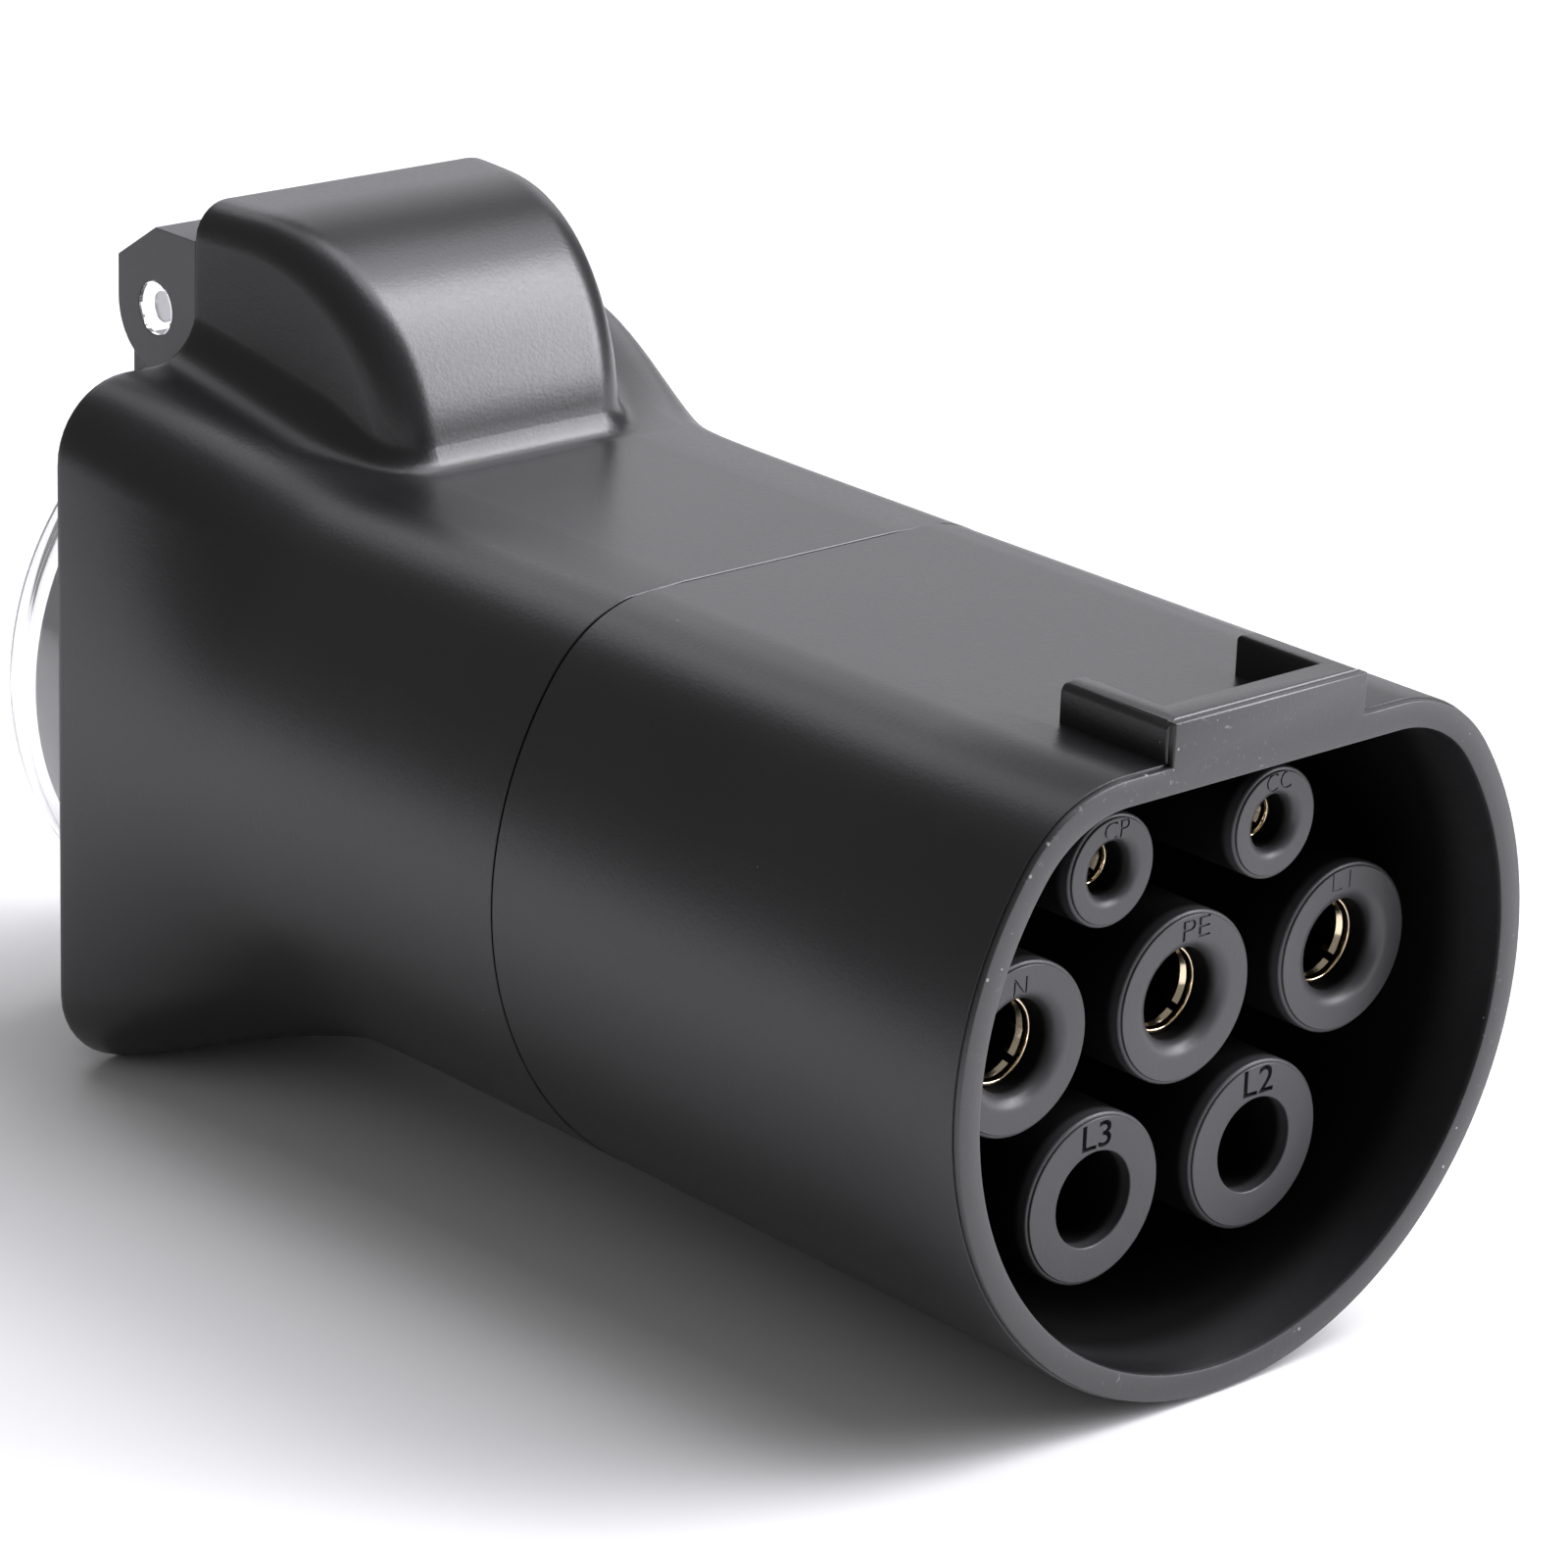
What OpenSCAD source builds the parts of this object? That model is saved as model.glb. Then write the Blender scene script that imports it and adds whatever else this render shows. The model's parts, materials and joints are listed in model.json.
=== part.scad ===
// Vehicle to load adapter: a seven tower charging nose at the front and
// a mains outlet under a clear spring lid at the back.
// Lengths are millimetres. Inside the modules y runs back from the nose rim
// and z is height over the centre contact; place() moves all of it so that
// the origin is the bottom centre of the whole adapter.

/* [Nose shell] */
// Outer radius of the round part of the nose
rim_r = 27.8; // [27:0.1:29]
// Height of the flat top over the centre contact
flat_z = 21.1; // [20.5:0.1:22.5]
// Radius of the two corners beside the flat top
corner_r = 11.4; // [10.5:0.1:12]
// Length of the front housing from the rim to the seam
nose_len = 49.2; // [48:0.1:56]
// Wall of both housings
wall = 2.2; // [2:0.1:2.6]
// Open line between the two housings
seam_gap = 0.2; // [0.1:0.05:0.4]
// Length of the spigot that enters the rear housing
spigot_len = 4.8; // [4:0.1:6]
// Thickness of the rubber ring at the end of the spigot
seal_t = 1; // [0.8:0.1:1.4]

/* [Latch catch] */
// Width of the catch across the flat top
catch_w = 19; // [16:0.5:22]
// Height of the catch over the flat top
catch_h = 3.1; // [2.5:0.1:4]
// Length of the catch from the rim to the ends of its ribs
catch_len = 11; // [9:0.5:14]
// Thickness of the cross plate at the rim
catch_plate_t = 3; // [2:0.1:4]
// Thickness of the two ribs
catch_rib_t = 1.9; // [1.5:0.1:2.5]
// Rounding of the outer top edges of the catch
catch_edge_r = 0.9; // [0.5:0.1:1.4]

/* [Contact layout] */
// Distance between neighbouring contacts of the middle row
contact_pitch = 16; // [15.5:0.1:16.5]
// Sideways offset of the two pilot contacts
pilot_x = 8; // [7.5:0.1:8.5]
// Height of the two pilot contacts
pilot_z = 11.25; // [11:0.05:11.8]
// Sideways offset of the two blank towers
blank_x = 8; // [7.6:0.1:8.6]
// Drop of the two blank towers
blank_z = 13.25; // [12.8:0.05:14]

/* [Towers] */
// Outer diameter of a power tower
power_tower_d = 12.9; // [12.4:0.1:13.4]
// Outer diameter of a pilot tower
pilot_tower_d = 8.3; // [7.8:0.1:8.8]
// Distance from the rim back to the tower faces
tower_recess = 6.4; // [5:0.1:8]
// Hole in the face of a power tower
power_mouth_d = 7; // [6.6:0.1:7.4]
// Hole in the face of a pilot tower
pilot_mouth_d = 4; // [3.6:0.1:4.3]
// Rounding of a power mouth
power_mouth_r = 1; // [0.6:0.1:1.3]
// Rounding of a pilot mouth
pilot_mouth_r = 0.7; // [0.4:0.1:0.9]
// Bore of a blank tower
blank_bore_d = 7.2; // [6.6:0.1:8]
// Depth of a blank bore
blank_bore_depth = 26; // [20:1:28]
// Length of the narrow mouth in front of a sleeve
mouth_len = 3; // [2:0.1:4]
// Softening of the outer edge of a tower face
tower_edge_r = 0.4; // [0.2:0.1:0.8]

/* [Carrier] */
// Distance from the seam forward to the front of the carrier plate
carrier_set = 13.2; // [12.5:0.1:15]
// Thickness of the carrier plate
carrier_t = 7; // [6:0.5:8]
// Width of the ledge that the carrier plate seats on
ledge_w = 1.2; // [0.8:0.1:1.6]
// Thickness of that ledge
ledge_t = 1.5; // [1:0.1:2.5]
// Thickness of the retainer behind the carrier
retainer_t = 3; // [2.5:0.5:4]
// Gap between the retainer edge and the nose wall
retainer_margin = 1.8; // [1.2:0.1:3]

/* [Contact sleeves] */
// Diameter of the power pin that a sleeve takes
power_pin_d = 6; // [5.8:0.1:6.2]
// Diameter of the pilot pin that a sleeve takes
pilot_pin_d = 3; // [2.8:0.1:3.1]
// Wall of a power sleeve
power_sleeve_t = 0.95; // [0.8:0.05:1.1]
// Wall of a pilot sleeve
pilot_sleeve_t = 0.9; // [0.7:0.05:1]
// Depth of the pin bore in a sleeve
sleeve_bore_len = 26; // [20:1:28]
// Length of the slots in a sleeve
sleeve_slot_len = 13; // [8:1:16]
// Width of the slots in a sleeve, as a share of its bore radius
sleeve_slot_share = 0.2; // [0.15:0.01:0.25]
// Depth of the groove that holds the spring ring
ring_groove = 0.4; // [0.3:0.05:0.5]
// Width of the spring ring
ring_w = 2; // [1.5:0.1:3]
// Length of the shoulder that locks a sleeve in the carrier
shoulder_len = 4; // [3:0.5:5]
// Width of that shoulder
shoulder_w = 0.8; // [0.6:0.1:1]
// Length of the wire barrel behind the retainer plate's front face
barrel_len = 9; // [7:0.5:10]
// Wall of the wire barrel
barrel_t = 1.4; // [1.2:0.1:1.5]
// Depth of the wire in a barrel
wire_grip = 5; // [3:0.5:6]
// Radial gap of a sleeve or wire in its bore
slip = 0.05; // [0.03:0.01:0.08]

/* [Rear housing] */
// Distance from the rim to the rear face
rear_y = 103; // [101:0.5:108]
// Distance from the rim to the start of the flare
flare_y = 82.9; // [80:0.1:84]
// Step of the rear face's sides over the nose
flange_side = 0.3; // [0.2:0.1:2]
// Rise of the rear face's top over the flat top
flange_rise = 4.9; // [4:0.1:6]
// Drop of the rear face's bottom under the nose
flange_fall = 3.2; // [2.5:0.1:5]
// Corner radius of the rear face
flange_r = 6.5; // [5:0.1:8]
// How soon the flare opens, over one starts softly
flare_start = 1.14; // [1:0.02:1.6]
// How softly the flare ends at the rear face
flare_end = 1.34; // [1:0.02:1.8]

/* [Hump] */
// Radius of the hump's rounded front
hump_r = 17.3; // [16:0.1:18]
// Half width of the hump at its front
hump_front_x = 11.3; // [10.5:0.1:11.8]
// Half width of the hump at the rear face
hump_rear_x = 14.95; // [14.5:0.05:15.5]
// Rounding of the hump's long edges
crest_r = 3; // [2:0.1:3.5]
// Radius of the hollow at the hump's foot
foot_r = 2; // [1.5:0.1:2.4]
// Distance from the rim to the centre of the hump's arc
hump_y = 98.2; // [97.5:0.1:100]

/* [Outlet] */
// Height of the outlet's centre, negative is below the centre contact
outlet_z = -2.5; // [-3:0.1:-2]
// Gap between the outlet's round body and the lid
lid_space = 0.6; // [0.4:0.1:1]
// Width of the outlet's clamped flange
outlet_flange_w = 1.5; // [1.2:0.1:1.7]
// Depth of the counterbore in the rear face
outlet_seat = 2.5; // [2:0.1:3.5]
// Length that the round body stands out of the rear face
outlet_proud = 10.5; // [9:0.5:11]
// Wall around the plug recess
recess_wall = 3.1; // [2.8:0.1:3.6]
// Depth of the plug recess
recess_depth = 17.5; // [16:0.5:18]
// Floor under the plug recess
recess_floor = 3; // [2.5:0.5:4]
// Half distance between the two mains pins
pin_x = 9.5; // [9:0.1:10]
// Diameter of a mains pin
pin_d = 4.8; // [4:0.1:5]
// Radius of the entry hole for a mains pin
entry_r = 2.9; // [2.7:0.1:3.2]
// Wall of an outlet contact
outlet_sleeve_t = 0.75; // [0.6:0.05:0.9]
// Length of a mains pin behind the recess floor's face
pin_len = 19; // [17:0.5:20]
// Depth of the open chamber behind the recess floor
chamber_depth = 5; // [4:0.5:6]
// Width of the two guide ribs in the recess
guide_w = 5.4; // [4:0.2:6]
// Height of the two guide ribs
guide_h = 1.1; // [0.8:0.1:1.5]
// Step from the recess wall in to the contact block
block_margin = 3.1; // [2.6:0.1:4]
// Thickness of the contact block's flange
block_flange_t = 2; // [1.5:0.5:3]
// Width of the earth strap
earth_w = 4; // [3:0.5:5]
// Wall of the earth strap's round stem
earth_stem_t = 0.7; // [0.6:0.1:0.9]
// Thickness of the earth strap
earth_t = 0.8; // [0.6:0.1:1]

/* [Outlet plate] */
// Width of the square plate beside the outlet's round body
plate_margin = 2.8; // [2.6:0.1:3.2]
// Thickness of the square plate
plate_t = 3; // [2.5:0.5:4]
// Corner radius of the square plate
plate_r = 5; // [3:0.5:6]
// Thickness of the gasket under the plate
gasket_t = 0.8; // [0.5:0.1:1.2]
// Inset of the plate's screws from its sides
plate_screw_inset = 5.75; // [5.5:0.05:6]

/* [Lid] */
// Outer radius of the clear lid
lid_r = 24.8; // [24.4:0.1:25.2]
// Wall of the clear lid
lid_t = 1.5; // [1.2:0.1:1.7]
// Rounding of the lid's outer edge
lid_edge_r = 5; // [4:0.5:7]
// Distance from the plate to the lid's flat end
lid_depth = 11.2; // [11:0.1:14]
// Width of the finger tab under the lid
tab_w = 10; // [8:0.5:14]
// Height of the finger tab
tab_h = 1.8; // [1.2:0.1:1.8]
// Thickness of the finger tab
tab_t = 2; // [1.6:0.1:2.6]
// Rise of the lid's crown over its end
lid_crown = 1.5; // [0.5:0.1:2.5]
// Thickness of the lid's rubber ring
lid_seal_t = 0.6; // [0.4:0.1:1]

/* [Hinge] */
// Distance from the rear face to the hinge line
hinge_back = 5.3; // [5.2:0.1:6]
// Height of the hinge line over the outlet plate's top
hinge_lift = 5.85; // [5.5:0.05:6.5]
// Diameter of the holes in the two ears
hinge_hole_d = 4.4; // [4:0.1:4.8]
// Radial clearance of a lid pin in its ear
hinge_gap = 0.06; // [0.04:0.01:0.1]
// Radius of the round end of an ear
ear_r = 5; // [4.6:0.1:5.1]
// Height of the ears over the hinge line
ear_top = 6.55; // [6:0.05:7]
// Height of the slope at the back of an ear's top
ear_slope = 3.2; // [2.5:0.1:4]
// Thickness of the pressed hinge bracket
bracket_t = 0.6; // [0.5:0.1:0.8]
// Place of the bracket's rivets, as a share of its half width
rivet_share = 0.44; // [0.4:0.01:0.45]
// Thickness of the lid's two arms
arm_t = 2; // [1.6:0.1:2.4]
// Side gap between a lid arm and its ear
arm_gap = 0.15; // [0.1:0.05:0.3]

/* [Fasteners] */
// Radius of the housing screws
housing_screw_r = 1.5; // [1.3:0.1:1.7]
// Radius of the retainer screws
retainer_screw_r = 1.1; // [0.9:0.1:1.3]
// Radius of the plate screws
plate_screw_r = 1.45; // [1.2:0.05:1.5]
// Radius of the contact block's screws
block_screw_r = 1.2; // [1:0.1:1.4]
// Radius of the small board screws
board_screw_r = 0.9; // [0.8:0.1:1.1]
// Length of the wire terminals in front of the contact block
terminal_len = 7; // [6:0.5:8]
// Radius of the terminal screws
terminal_screw_r = 1.1; // [0.9:0.1:1.2]
// Radius of the bracket rivets
rivet_r = 1.5; // [1.2:0.1:1.7]

/* [Wiring] */
// Radius of the three mains leads
mains_lead_r = 1.7; // [1.4:0.1:1.9]
// Radius of the two pilot leads
pilot_lead_r = 0.8; // [0.6:0.1:0.9]
// Thickness of the coding board
board_t = 1.2; // [1:0.1:1.6]
// Width of the coding board
board_w = 17; // [16:0.5:18]
// Length of the coding board
board_l = 11; // [10:0.5:12]

/* [Hidden] */
$fn = 64;

// Small overlap that joins or cuts solids cleanly
eps = 0.01;

// Corner circles of the nose outline
corner_z = flat_z - corner_r;
corner_x = sqrt(pow(rim_r - corner_r, 2) - pow(corner_z, 2));
corner_a = atan2(corner_z, corner_x);

// Rear face around the nose
flange_x = rim_r + flange_side;
flange_top = flat_z + flange_rise;
flange_drop = rim_r + flange_fall;

// Stations along the nose
carrier_y = nose_len - carrier_set;
seam_front = nose_len - seam_gap / 2;
seam_rear = nose_len + seam_gap / 2;
spigot_end = nose_len + spigot_len;
shoulder_y = spigot_end + seal_t;
carrier_back = carrier_y + carrier_t;
retainer_back = carrier_back + retainer_t;
barrel_end = carrier_back + barrel_len;
spigot_inset = wall / 2;

// Radii of the contact sleeves
power_in = power_pin_d / 2 + 0.03;
power_out = power_in + power_sleeve_t;
pilot_in = pilot_pin_d / 2 + 0.03;
pilot_out = pilot_in + pilot_sleeve_t;
sleeve_front = tower_recess + mouth_len + slip;
mains_bore = mains_lead_r + slip;
pilot_bore = pilot_lead_r + slip;

// Places of the contacts as [x, z]
n_at = [-contact_pitch, 0];
pe_at = [0, 0];
l1_at = [contact_pitch, 0];
cp_at = [-pilot_x, pilot_z];
cc_at = [pilot_x, pilot_z];
POWER = [n_at, pe_at, l1_at];
PILOT = [cp_at, cc_at];
BLANK = [[-blank_x, -blank_z], [blank_x, -blank_z]];
RETAINER_SCREWS = [[-contact_pitch / 2, 0], [contact_pitch / 2, 0], [0, pilot_z + 1.75], [0, -blank_z]];

// Screw lugs inside the seam, as [x, z]
lug_r = housing_screw_r + 2;
lug_reach = rim_r - wall - lug_r + 0.2;
lug_angle = 42;
LUGS = concat([for (side = [-1, 1]) [side * lug_reach * cos(lug_angle), -lug_reach * sin(lug_angle)]],
              [[0, flat_z - wall - lug_r + 0.2]]);
lug_len = 5;
lug_front = retainer_back + retainer_screw_r * 1.3 + 0.3;

// Hump: the arc's centre height puts its front end on the flat top
hump_z = flat_z + 0.1;
hump_top = hump_z + hump_r;
foot_rise = flat_z + foot_r - hump_z;
hump_front_y = hump_y - sqrt(pow(hump_r, 2) - pow(foot_rise, 2));

// Radii of the outlet, from the lid inwards
outlet_r = lid_r - lid_t - lid_space;
outlet_flange_r = outlet_r + outlet_flange_w;
recess_r = outlet_r - recess_wall;
block_r = recess_r - block_margin;
plate_w = 2 * (outlet_r + plate_margin);
plate_pitch = plate_w - 2 * plate_screw_inset;

// Outlet stations
seat_y = rear_y - outlet_seat;
plate_y = rear_y + gasket_t;
plate_back = plate_y + plate_t;
outlet_face = rear_y + outlet_proud;
recess_y = outlet_face - recess_depth;
chamber_back = recess_y - recess_floor;
insert_front = chamber_back - chamber_depth;
block_back = insert_front - block_flange_t;
pin_tip = recess_y - pin_len;
block_front = pin_tip - 1;
contact_front = chamber_back - 0.5;
terminal_y = block_front - terminal_len;
sleeve_in = pin_d / 2 + 0.05;
sleeve_out = sleeve_in + outlet_sleeve_t;
terminal_r = sleeve_out + 1;
outlet_gap = 0.3;
earth_r = recess_r - 1.6;
earth_stem_r = mains_bore + earth_stem_t;
earth_bar_y = chamber_back - earth_t - outlet_gap;
block_screw_at = block_r - 0.2;
block_screw_angle = 42.5;
BLOCK_SCREWS = [for (a = [block_screw_angle, block_screw_angle + 180])
    [block_screw_at * cos(a), outlet_z + block_screw_at * sin(a)]];
PLATE_SCREWS = [for (i = [-1, 1], j = [-1, 1]) [i * plate_pitch / 2, outlet_z + j * plate_pitch / 2]];
plate_hole_depth = 8.5;

// Hinge and lid stations
hinge_z = outlet_z + plate_w / 2 + hinge_lift;
hinge_y = rear_y + hinge_back;
ear_x = hump_rear_x;
arm_out = ear_x - bracket_t - arm_gap;
lid_rim_y = plate_back + lid_seal_t;
lid_end_y = plate_back + lid_depth;
overall_len = lid_end_y + lid_crown;
pivot_r = hinge_hole_d / 2 - hinge_gap;
barrel_r = hinge_back - bracket_t - 1.1;
rivet_x = ear_x * rivet_share;
rivet_head_t = 0.8;
web_y = hinge_y + 2.3;
web_t = 1.6;
rod_r = 1.2;
wire_r = 0.5;
coil_r = rod_r + wire_r + 0.25;

// Board in the hump
board_z = hump_z + 5.5;
board_y = seat_y - rivet_head_t - board_l - 0.3;
post_x = board_w / 2 - 2.5;
BOARD_POSTS = [[-post_x, board_y + board_l / 2], [post_x, board_y + board_l / 2]];
post_r = 2.2;
post_hole = 5;
lead_pad_x = board_w / 2 - 1.5;
lead_notch_z = flat_z - wall - 1.3;
resistor_r = 1.1;

function lerp(a, b, t) = a + (b - a) * t;
function clamp(v, low, high) = min(max(v, low), high);

// Distance from the centre contact's axis to the nose outline at angle a
function nose_radius(a) =
    a <= corner_a ? rim_r
    : a >= atan2(flat_z, corner_x) ? flat_z / sin(a)
    : arc_radius(a, [corner_x, corner_z], corner_r);

// Far crossing of a ray at angle a with a circle around c
function arc_radius(a, c, r) =
    let (d = norm(c), off = a - atan2(c[1], c[0]))
    d * cos(off) + sqrt(max(0, pow(r, 2) - pow(d * sin(off), 2)));

// Distance from the same axis to the rounded square of the rear face
function flange_radius(a) =
    let (cx = flange_x - flange_r, top = flange_top - flange_r, low = flange_r - flange_drop)
    a >= atan2(flange_top, cx) ? flange_top / sin(a)
    : a >= atan2(top, flange_x) ? arc_radius(a, [cx, top], flange_r)
    : a >= atan2(low, flange_x) ? flange_x / cos(a)
    : a >= atan2(-flange_drop, cx) ? arc_radius(a, [cx, low], flange_r)
    : -flange_drop / sin(a);

// Share of the rear face's outline at distance y
function flare(y) =
    let (t = clamp((y - flare_y) / (rear_y - flare_y), 0, 1))
    1 - pow(1 - pow(t, flare_start), flare_end);

// Point of the plain skin, without the hump, at distance y and angle a
function skin_point(y, a) =
    let (r = lerp(nose_radius(a), flange_radius(a), flare(y)))
    [r * cos(a), y, r * sin(a)];

function skin_top(y) = lerp(flat_z, flange_top, flare(y));
function hump_half(y) =
    lerp(hump_front_x, hump_rear_x, clamp((y - hump_front_y) / (rear_y - hump_front_y), 0, 1));

// Height of the foot's hollow at distance d outside the hump's wall
function foot_height(d) = foot_r - sqrt(max(0, pow(foot_r, 2) - pow(foot_r - d, 2)));

// Half width of the hump's plan, grown outwards by d
function plan_half(y, d) =
    let (to_corner = hump_front_y + crest_r - y)
    to_corner > 0
    ? hump_half(y) - crest_r + sqrt(max(0, pow(crest_r + d, 2) - pow(to_corner, 2)))
    : hump_half(y) + d;

// Height of the hump's surface at distance y and sideways offset x
function hump_height(y, x) =
    let (side = clamp((x - hump_half(y) + crest_r) / crest_r, 0, 1))
    let (reach = hump_r - crest_r + crest_r * sqrt(1 - pow(side, 2)))
    let (along = min(y, hump_y))
    y < hump_front_y
    ? skin_top(y) + foot_height(min(foot_r, hump_front_y - y))
    : max(skin_top(y) + 0.2, hump_z + sqrt(max(0, pow(reach, 2) - pow(hump_y - along, 2))));

// Sideways end of the hump's crest where its wall meets the foot
function crest_end(y) =
    let (along = min(y, hump_y), rise = skin_top(y) + foot_r - hump_z)
    let (reach = sqrt(pow(rise, 2) + pow(hump_y - along, 2)))
    let (part = clamp((reach - hump_r + crest_r) / crest_r, 0, 1))
    y <= hump_front_y ? hump_half(y) - crest_r
    : hump_half(y) - crest_r + crest_r * sqrt(1 - pow(part, 2));

// Shares of the crest and angles of the skin where the outline has points
CREST = [0.4, 0.7, 0.8, 0.87, 0.92, 0.965, 1];
foot_steps = 4;
SKIN_ANGLES = [53, 50, 47, 44, 41, 37, 32, 24, 14, 0, -12, -22, -30,
               -37, -41, -44, -47, -50, -53, -57, -62, -72, -90];

// Right half of the outline at distance y, from the top centre to the bottom
function half_outline(y) =
    let (before = hump_front_y - y, in_front = before > foot_r * 0.95)
    let (end = crest_end(y))
    let (join_x = in_front ? end + foot_r : plan_half(y, foot_r))
    let (join_a = atan2(skin_top(y), join_x))
    let (join = skin_point(y, join_a))
    let (start_a = in_front ? 0 : asin(clamp(1 - max(0, before) / foot_r, 0, 1)))
    concat(
        [[0, y, hump_height(y, 0)]],
        [for (share = CREST) [end * share, y, hump_height(y, end * share)]],
        [for (i = [1:foot_steps - 1])
            let (part = i / foot_steps)
            let (d = foot_r * (1 - sin(start_a * (1 - part))))
            let (x = in_front ? lerp(end, join[0], part) : min(plan_half(y, d), join[0] - (1 - part) * 0.05))
            [x, y, lerp(skin_top(y), join[2], part) + (in_front ? 0 : foot_height(d))]],
        [join],
        [for (a = SKIN_ANGLES) skin_point(y, a)]
    );

function mirrored(p) = [-p[0], p[1], p[2]];
function full_outline(y) =
    let (half = half_outline(y), n = len(half))
    concat(half, [for (i = [n - 2:-1:1]) mirrored(half[i])]);

// Distances along the rear housing where the skin has an outline
foot_stations = [for (a = [18, 42, 66]) hump_front_y - foot_r * (1 - sin(a))];
arc_start = asin(foot_rise / hump_r);
arc_stations = [for (i = [0:9]) hump_y - hump_r * cos(lerp(arc_start, 90, i / 9))];
STATIONS = concat([seam_rear, lerp(seam_rear, hump_front_y, 0.5), hump_front_y - foot_r],
                  foot_stations, arc_stations, [lerp(hump_y, rear_y, 0.5), rear_y]);

// Moves the working frame to the bottom centre of the adapter
module place() {
    translate([0, -overall_len / 2, flange_drop])
        children();
}

// Extrudes a drawing of x and z along y
module along_y(y, length) {
    translate([0, y, 0])
        rotate([-90, 0, 0])
            linear_extrude(height = length)
                mirror([0, 1, 0])
                    children();
}

// Extrudes a drawing of y and z along x
module along_x(x, length) {
    translate([x, 0, 0])
        rotate([90, 0, 90])
            linear_extrude(height = length)
                children();
}

// Round bar along y around at, given as [x, z]
module rod_y(at, y, r, length) {
    translate([at[0], y, at[1]])
        rotate([-90, 0, 0])
            cylinder(r = r, h = length);
}

// Round bar along x around [y, z]
module rod_x(x, y, z, r, length) {
    translate([x, y, z])
        rotate([0, 90, 0])
            cylinder(r = r, h = length);
}

// Round bar along z
module rod_z(x, y, z, r, length) {
    translate([x, y, z])
        cylinder(r = r, h = length);
}

// Turns a drawing of radius and distance around y
module turned_y(at, y) {
    translate([at[0], y, at[1]])
        rotate([-90, 0, 0])
            rotate_extrude()
                children();
}

// Screw with a flat round head; its shank runs forward from the head's seat
module screw_y(at, seat, r, shank, head_r, head_t) {
    rod_y(at, seat - shank, r, shank + eps);
    rod_y(at, seat, head_r, head_t);
}

// Outline of the nose, drawn inwards by inset
module nose_outline(inset) {
    r = rim_r - inset;
    top = flat_z - inset;
    far = [2 * r * cos(corner_a), 2 * r * sin(corner_a)];
    difference() {
        circle(r = r);
        polygon([[0, 0], far, [0, 3 * r], [-far[0], far[1]]]);
    }
    for (side = [-1, 1])
        translate([side * corner_x, corner_z])
            circle(r = corner_r - inset);
    polygon([[0, -r / 2], [corner_x, corner_z], [corner_x, top], [-corner_x, top], [-corner_x, corner_z]]);
}

// Square with round corners around [0, z]
module rounded_square(width, r, z) {
    flat = width - 2 * r;
    translate([0, z]) {
        square([width, flat], center = true);
        square([flat, width], center = true);
        for (i = [-1, 1], j = [-1, 1])
            translate([i * flat / 2, j * flat / 2])
                circle(r = r);
    }
}

// Front housing: open nose, latch catch, carrier ledge, spigot and screw lugs
module front_housing() {
    color("#2b2b2d")
        place() {
            difference() {
                union() {
                    along_y(0, seam_front)
                        nose_outline(0);
                    along_y(seam_front - 1, spigot_end - seam_front + 1)
                        nose_outline(spigot_inset);
                    latch_catch();
                }
                along_y(-1, carrier_y - ledge_t + 1)
                    nose_outline(wall);
                along_y(carrier_y - ledge_t - 1, ledge_t + 2)
                    nose_outline(wall + ledge_w);
                along_y(carrier_y, spigot_end - carrier_y + 1)
                    nose_outline(wall);
            }
            for (at = LUGS)
                difference() {
                    intersection() {
                        rod_y(at, lug_front, lug_r, spigot_end - lug_front);
                        along_y(lug_front, spigot_end - lug_front)
                            nose_outline(wall - 0.1);
                    }
                    rod_y(at, lug_front - 1, housing_screw_r + slip, spigot_end - lug_front + 2);
                }
        }
}

// Catch on the flat top: a cross plate at the rim and two ribs behind it
module latch_catch() {
    top = flat_z + catch_h;
    half = catch_w / 2;
    along_y(0, catch_plate_t)
        catch_section(half, top);
    intersection() {
        along_y(catch_plate_t - eps, catch_len - catch_plate_t)
            catch_section(half, top);
        for (side = [-1, 1])
            translate([side * (half - catch_rib_t / 2), catch_len / 2, top - catch_h / 2])
                cube([catch_rib_t, catch_len, catch_h + 2], center = true);
    }
}

// Section of the catch with its two outer top edges rounded
module catch_section(half, top) {
    translate([-half, flat_z - 0.5])
        square([2 * half, catch_h + 0.5 - catch_edge_r]);
    translate([catch_edge_r - half, flat_z])
        square([2 * (half - catch_edge_r), catch_h]);
    for (side = [-1, 1])
        translate([side * (half - catch_edge_r), top - catch_edge_r])
            circle(r = catch_edge_r);
}

// Carrier: the plate across the nose and its seven towers
module contact_carrier() {
    color("#29292b")
        place()
            difference() {
                union() {
                    along_y(carrier_y, carrier_t)
                        nose_outline(wall + 2 * slip);
                    for (at = concat(POWER, BLANK))
                        tower(at, power_tower_d / 2);
                    for (at = PILOT)
                        tower(at, pilot_tower_d / 2);
                }
                for (at = POWER)
                    sleeve_bore(at, power_mouth_d / 2, power_mouth_r, power_out);
                for (at = PILOT)
                    sleeve_bore(at, pilot_mouth_d / 2, pilot_mouth_r, pilot_out);
                for (at = BLANK)
                    rod_y(at, tower_recess - 1, blank_bore_d / 2, blank_bore_depth + 1);
                for (at = RETAINER_SCREWS)
                    rod_y(at, carrier_y + 1, retainer_screw_r + slip, carrier_t);
            }
}

// One tower with a softened front edge
module tower(at, r) {
    turned_y(at, tower_recess)
        union() {
            square([r - tower_edge_r, carrier_y - tower_recess + 1]);
            translate([0, tower_edge_r])
                square([r, carrier_y - tower_recess - tower_edge_r + 1]);
            translate([r - tower_edge_r, tower_edge_r])
                circle(r = tower_edge_r);
        }
}

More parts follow.
